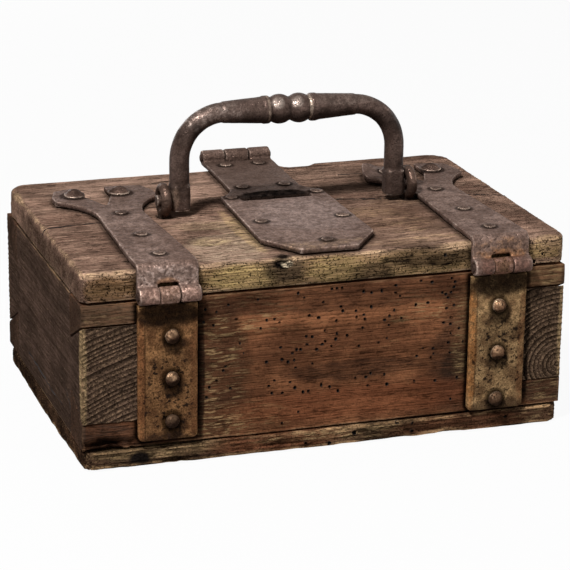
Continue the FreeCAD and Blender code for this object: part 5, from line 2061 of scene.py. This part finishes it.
    def nails(self) -> list[NailSet]:
        """Lists the nails of the straps, the fishtails and the wall leaf.

        Returns:
            The nails with their finish.
        """
        x, name, up = self.across, self.name, (0, 0, 1)
        flat = head_iron(f"iron_strap_nails_{name}")
        rose = IronFinish(f"iron_rose_{name}", (92, 73, 64), (58, 45, 39), (184, 162, 146),
                          grit=0.25, metal=0.6, rough=0.3, rub=0.6, pits=0.3)
        dome = IronFinish(f"iron_plate_nails_{name}", (112, 83, 62), (66, 47, 36), (196, 168, 140),
                          metal=0.5, rough=0.3, grit=0.3, rub=0.7, patches=self.nail_shade_and_glints())
        row = tuple((x, y, self.lid_top) for y in self.rows)
        tails = tuple((x + self.lean + side * self.rose[0], self.rose[1], self.lid_top)
                      for side in (-1, 1))
        drops = tuple((x + self.plate_lean, self.wall_face, z) for z in self.plate_drop)
        return [
            NailSet(f"{name}_strap_nails", Ride.LID, "iron_dark", HeadShape.FLAT, flat, row, up,
                    self.lid_nail, 5 + self.sprung),
            NailSet(f"{name}_fishtail_nails", Ride.LID, "iron_dark", HeadShape.ROSE, rose, tails,
                    up, self.lid_nail, 15 + self.sprung),
            NailSet(f"{name}_plate_nails", Ride.BOX, "iron_dark", HeadShape.DOME, dome, drops,
                    (0, -1, 0), self.wall_nail, 25 + self.sprung),
        ]


@dataclass
class CoinLock(SubAssembly):
    """The slot plate with its nails, and the hasp with its fixed eye; lengths in millimetres."""

    across: float = 2.8
    lean: float = 2.6
    plate_top: float = 119.5
    lid_nail: float = 24.6
    rear: tuple[tuple[float, float], ...] = ((-11, 89.5), (11, 89.5))
    spots: tuple[tuple[float, float], ...] = (
        (-13.5, 37.5), (13.5, 37.5), (-27, 16.5), (27, 16.5), (-25, -37), (25, -37), (0, -82))

    def pieces(self) -> list[Forging | NailSet]:
        """Lists the lock's pieces.

        Returns:
            The forgings and nails with their finish.
        """
        x = self.across
        patches = (
            ColourPatch((x, 72, 120), (40, 48, 9), (80, 64, 56), 0.75, 0.6, 0.3),
            ColourPatch((x - 12, -88, 119), (30, 6, 4), (150, 122, 94), 0.5, 2.2, 0.7),
            ColourPatch((x + 4, -30, self.plate_top), (32, 34, 4), (144, 124, 116), 0.6, 1.2, 0.3),
            # painted shadow of the handle along the slot, with painted shade at the slot's mouth
            ColourPatch((x, 17, self.plate_top), (25, 10, 6), (14, 11, 10), 1.0, 0.5, 0.1),
            IRON_FOOT,
        )
        plate = strap_iron("iron_strap_slot", patches)
        flat = head_iron("iron_strap_slot_nails")
        eye = strap_iron("iron_strap_eye")
        neck = ColourPatch((x, 104, 120), (40, 9, 9), (78, 62, 54), 0.75, 0.6, 0.3)
        leaf = strap_iron("iron_strap_hasp", (neck,))
        spots = tuple((x + self.lean + dx, y, self.plate_top) for dx, y in self.rear)
        spots += tuple((x + dx, y, self.plate_top) for dx, y in self.spots)
        return [
            Forging("slot_plate", Ride.LID, "iron_strap", plate, seed=21,
                    nails=("slot_plate_nails",)),
            Forging("hasp", Ride.HASP, "iron_strap", leaf, grid=0.6, seed=23),
            Forging("hasp_eye", Ride.BOX, "iron_strap", eye, grid=0.5, beat=0.2, seed=24),
            NailSet("slot_plate_nails", Ride.LID, "iron_dark", HeadShape.FLAT, flat, spots,
                    (0, 0, 1), self.lid_nail, 27),
        ]


@dataclass
class Bail(SubAssembly):
    """The carrying handle and the two eyes that it swings in; lengths in millimetres."""

    middle: float = 6.6
    beads: tuple[float, float] = (-2.5, 9.5)
    collars: tuple[tuple[float, float, Rgb, float, float], ...] = (
        (18.4, 1.0, (206, 186, 166), 0.45, 0.5), (-7.6, 0.9, (190, 168, 148), 0.3, 0.6))

    def grip_wear_and_light(self) -> tuple[ColourPatch, ...]:
        """The rubbed foot with a painted highlight, the painted shade of the underside, the painted
        highlights on the bend, beads and top, and the worn collar rings.

        Returns:
            The patches.
        """
        return (
            # the foot: rubbed wear with a painted highlight
            ColourPatch((-68, -6, 126), (6, 8, 7), (156, 130, 112), 0.5, 1.4, 0.5),
            # painted shade on the underside of the grip
            ColourPatch((self.middle, 2, 165), (74, 24, 11), (30, 23, 20), 0.85, 0.5, 0.2),
            # painted highlight on the left bend
            ColourPatch((-46, -4, 177), (24, 10, 9), (176, 160, 150), 0.2, 1.0, 0.7),
            # painted highlight on each bead
            *[ColourPatch((x, -6, 182), (4.5, 6, 4.5), (196, 180, 168), 0.3, 0.8, 0.4)
              for x in self.beads],
            # painted highlight along the top of the right part
            ColourPatch((46, -4, 181), (26, 9, 4), (150, 134, 124), 0.18, 0.8, 0.6),
            *[ColourPatch((x, -6, 180), (wide, 12, 12), colour, strength, 0.8, torn)
              for x, wide, colour, strength, torn in self.collars],
        )

    def pieces(self) -> list[Forging]:
        """Lists the handle's pieces.

        Returns:
            The forgings with their finish.
        """
        grip = IronFinish("iron_dark_handle", (87, 71, 64), (62, 49, 43), (196, 178, 164),
                          grain=0.8, grit=0.28, metal=0.5, rough=0.36, relief=0.22, gloss=0.05,
                          rub=0.6, pits=0.3, patches=self.grip_wear_and_light())
        eye = IronFinish("iron_dark_eyes", (90, 72, 63), (64, 50, 43), (186, 164, 148), grit=0.25,
                         metal=0.6, rough=0.3, relief=0.3, pits=0.3)
        handle = Forging("handle", Ride.BAIL, "iron_dark", grip, grid=0.65, beat=0.35, lump=7.0,
                         seed=33)
        eyes = [Forging(f"{name}_handle_eye", Ride.LID, "iron_dark", eye, grid=0.5, beat=0.25,
                        lump=5.0, seed=seed) for name, seed in (("left", 35), ("right", 36))]
        return [handle, *eyes]


@dataclass
class Pins(SubAssembly):
    """The pins and the base's nails, which stay as they are packed."""

    nodes: tuple[str, ...] = ("left_hinge_pin", "right_hinge_pin", "hasp_pin", "base_nails")
    finish: IronFinish = IronFinish("iron_dark_pins", (84, 67, 59), (54, 42, 37), (140, 122, 108),
                                    metal=0.6)

    def build(self) -> list[bpy.types.Object]:
        """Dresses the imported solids.

        Returns:
            The dressed solids.
        """
        material = self.finish.material()
        solids = [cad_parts[name] for name in self.nodes]
        for solid in solids:
            solid.data.materials.clear()
            solid.data.materials.append(material)
        return solids


@dataclass(frozen=True)
class Lamp:
    """A soft square lamp; lengths in metres, power in watts."""

    name: str
    place: Point
    target: Point
    size: float
    power: float

    def hang(self) -> None:
        """Hangs the lamp and turns it to what it lights."""
        data = bpy.data.lights.new(self.name, "AREA")
        data.size = self.size
        data.energy = self.power
        lamp = bpy.data.objects.new(self.name, data)
        lamp.location = self.place
        ahead = Vector(self.target) - Vector(self.place)
        lamp.rotation_euler = ahead.to_track_quat("-Z", "Y").to_euler()
        bpy.context.scene.collection.objects.link(lamp)


@dataclass
class Studio:
    """Floor, lamps and camera; lengths in metres."""

    camera_place: Point = (-0.432475, -1.309225, 0.509085)
    forward: Point = (0.30187, 0.90322, -0.30512)
    right: Point = (0.94843, -0.31698, 0.0)
    roll: float = 0.013604
    focal_pixels: float = 2400.0
    picture: float = 570.0
    sensor: float = 36.0
    far_clip: float = 20.0
    floor_reach: float = 6.0
    floor_tone: float = 0.5
    floor_rough: float = 0.9
    floor_glow: float = 0.94
    room_light: float = 0.16
    lamps: tuple[Lamp, ...] = (
        Lamp("key", (-0.75, -0.70, 1.55), (0.0, 0.0, 0.08), 0.22, 44.0),
        Lamp("front", (0.3, -1.6, 0.7), (0.0, 0.0, 0.06), 0.9, 3.0),
        Lamp("right", (1.5, 0.3, 0.45), (0.0, 0.0, 0.06), 0.7, 5.0),
        Lamp("back", (-0.2, 1.7, 0.4), (0.0, 0.0, 0.06), 0.7, 7.0),
    )

    def camera(self) -> None:
        """Sets the camera at the photograph's angle."""
        data = bpy.data.cameras.new("camera")
        data.sensor_width = self.sensor
        data.sensor_fit = "HORIZONTAL"
        data.lens = self.focal_pixels / self.picture * self.sensor
        data.clip_end = self.far_clip
        ahead = Vector(self.forward).normalized()
        right = Vector(self.right).normalized()
        up = right.cross(ahead)
        along = right * math.cos(self.roll) + up * math.sin(self.roll)
        above = up * math.cos(self.roll) - right * math.sin(self.roll)
        turn = Matrix((along, above, -ahead)).transposed().to_4x4()
        camera = bpy.data.objects.new("camera", data)
        camera.matrix_world = Matrix.Translation(Vector(self.camera_place)) @ turn
        bpy.context.scene.collection.objects.link(camera)
        bpy.context.scene.camera = camera

    def seen(self, sheet: NodeSheet) -> Socket:
        """Tells the camera's and reflections' rays from light.

        Args:
            sheet: The sheet of the floor or the world.

        Returns:
            1 for rays that see, 0 for rays that light.
        """
        path = sheet.node("LightPath").outputs
        seen = sheet.math("MAXIMUM", path["Is Camera Ray"], path["Is Glossy Ray"])
        return sheet.math("MAXIMUM", seen, path["Is Transmission Ray"])

    def floor(self) -> None:
        """Lays a plain pale floor that keeps a soft shadow."""
        mesh = bpy.data.meshes.new("floor")
        reach, tone = self.floor_reach, self.floor_tone
        corners = [(-reach, -reach, 0), (reach, -reach, 0), (reach, reach, 0), (-reach, reach, 0)]
        mesh.from_pydata(corners, [], [(0, 1, 2, 3)])
        material, sheet, shader = plain_material("floor")
        shader.inputs["Base Color"].default_value = (tone, tone, tone, 1)
        shader.inputs["Roughness"].default_value = self.floor_rough
        glow = sheet.node("Emission", {"Color": (1, 1, 1, 1), "Strength": 1.0}).outputs[0]
        share = sheet.times(self.seen(sheet), self.floor_glow)
        mixed = sheet.node("MixShader", {0: share, 1: shader.outputs[0], 2: glow})
        sheet.feed(sheet.tree.nodes["Material Output"].inputs["Surface"], mixed.outputs[0])
        mesh.materials.append(material)
        new_object("floor", mesh)

    def world(self) -> None:
        """Fills the room with even light in front of a white ground."""
        world = bpy.data.worlds.new("studio")
        world.use_nodes = True
        bpy.context.scene.world = world
        sheet = NodeSheet(world.node_tree)
        ground = world.node_tree.nodes["Background"]
        strength = sheet.ease(self.seen(sheet), 0.0, 1.0, self.room_light, 1.0)
        sheet.feed(ground.inputs["Strength"], strength)
        ground.inputs["Color"].default_value = (1, 1, 1, 1)

    def build(self) -> None:
        """Sets up the whole studio."""
        bpy.context.scene.view_settings.view_transform = "Standard"
        self.camera()
        self.floor()
        self.world()
        for lamp in self.lamps:
            lamp.hang()


def main() -> None:
    """Builds every sub-assembly in order and reports its pieces."""
    logging.basicConfig(level=logging.INFO, format="%(message)s")
    Studio().build()
    assemblies = (
        Case(),
        Lid(),
        StrapHinge("left", -96.0, (77.0, 52.05, 27.1), LEFT_TONE, lean=-4.0, plate_lean=2.0),
        StrapHinge("right", 101.8, (77.0, 48.45, 19.9), RIGHT_TONE, sprung=True),
        CoinLock(),
        Bail(),
        Pins(),
    )
    for assembly in assemblies:
        for piece in assembly.build():
            log.info("%s: %d faces", piece.name, len(piece.data.polygons))


if __name__ == "__main__":
    main()
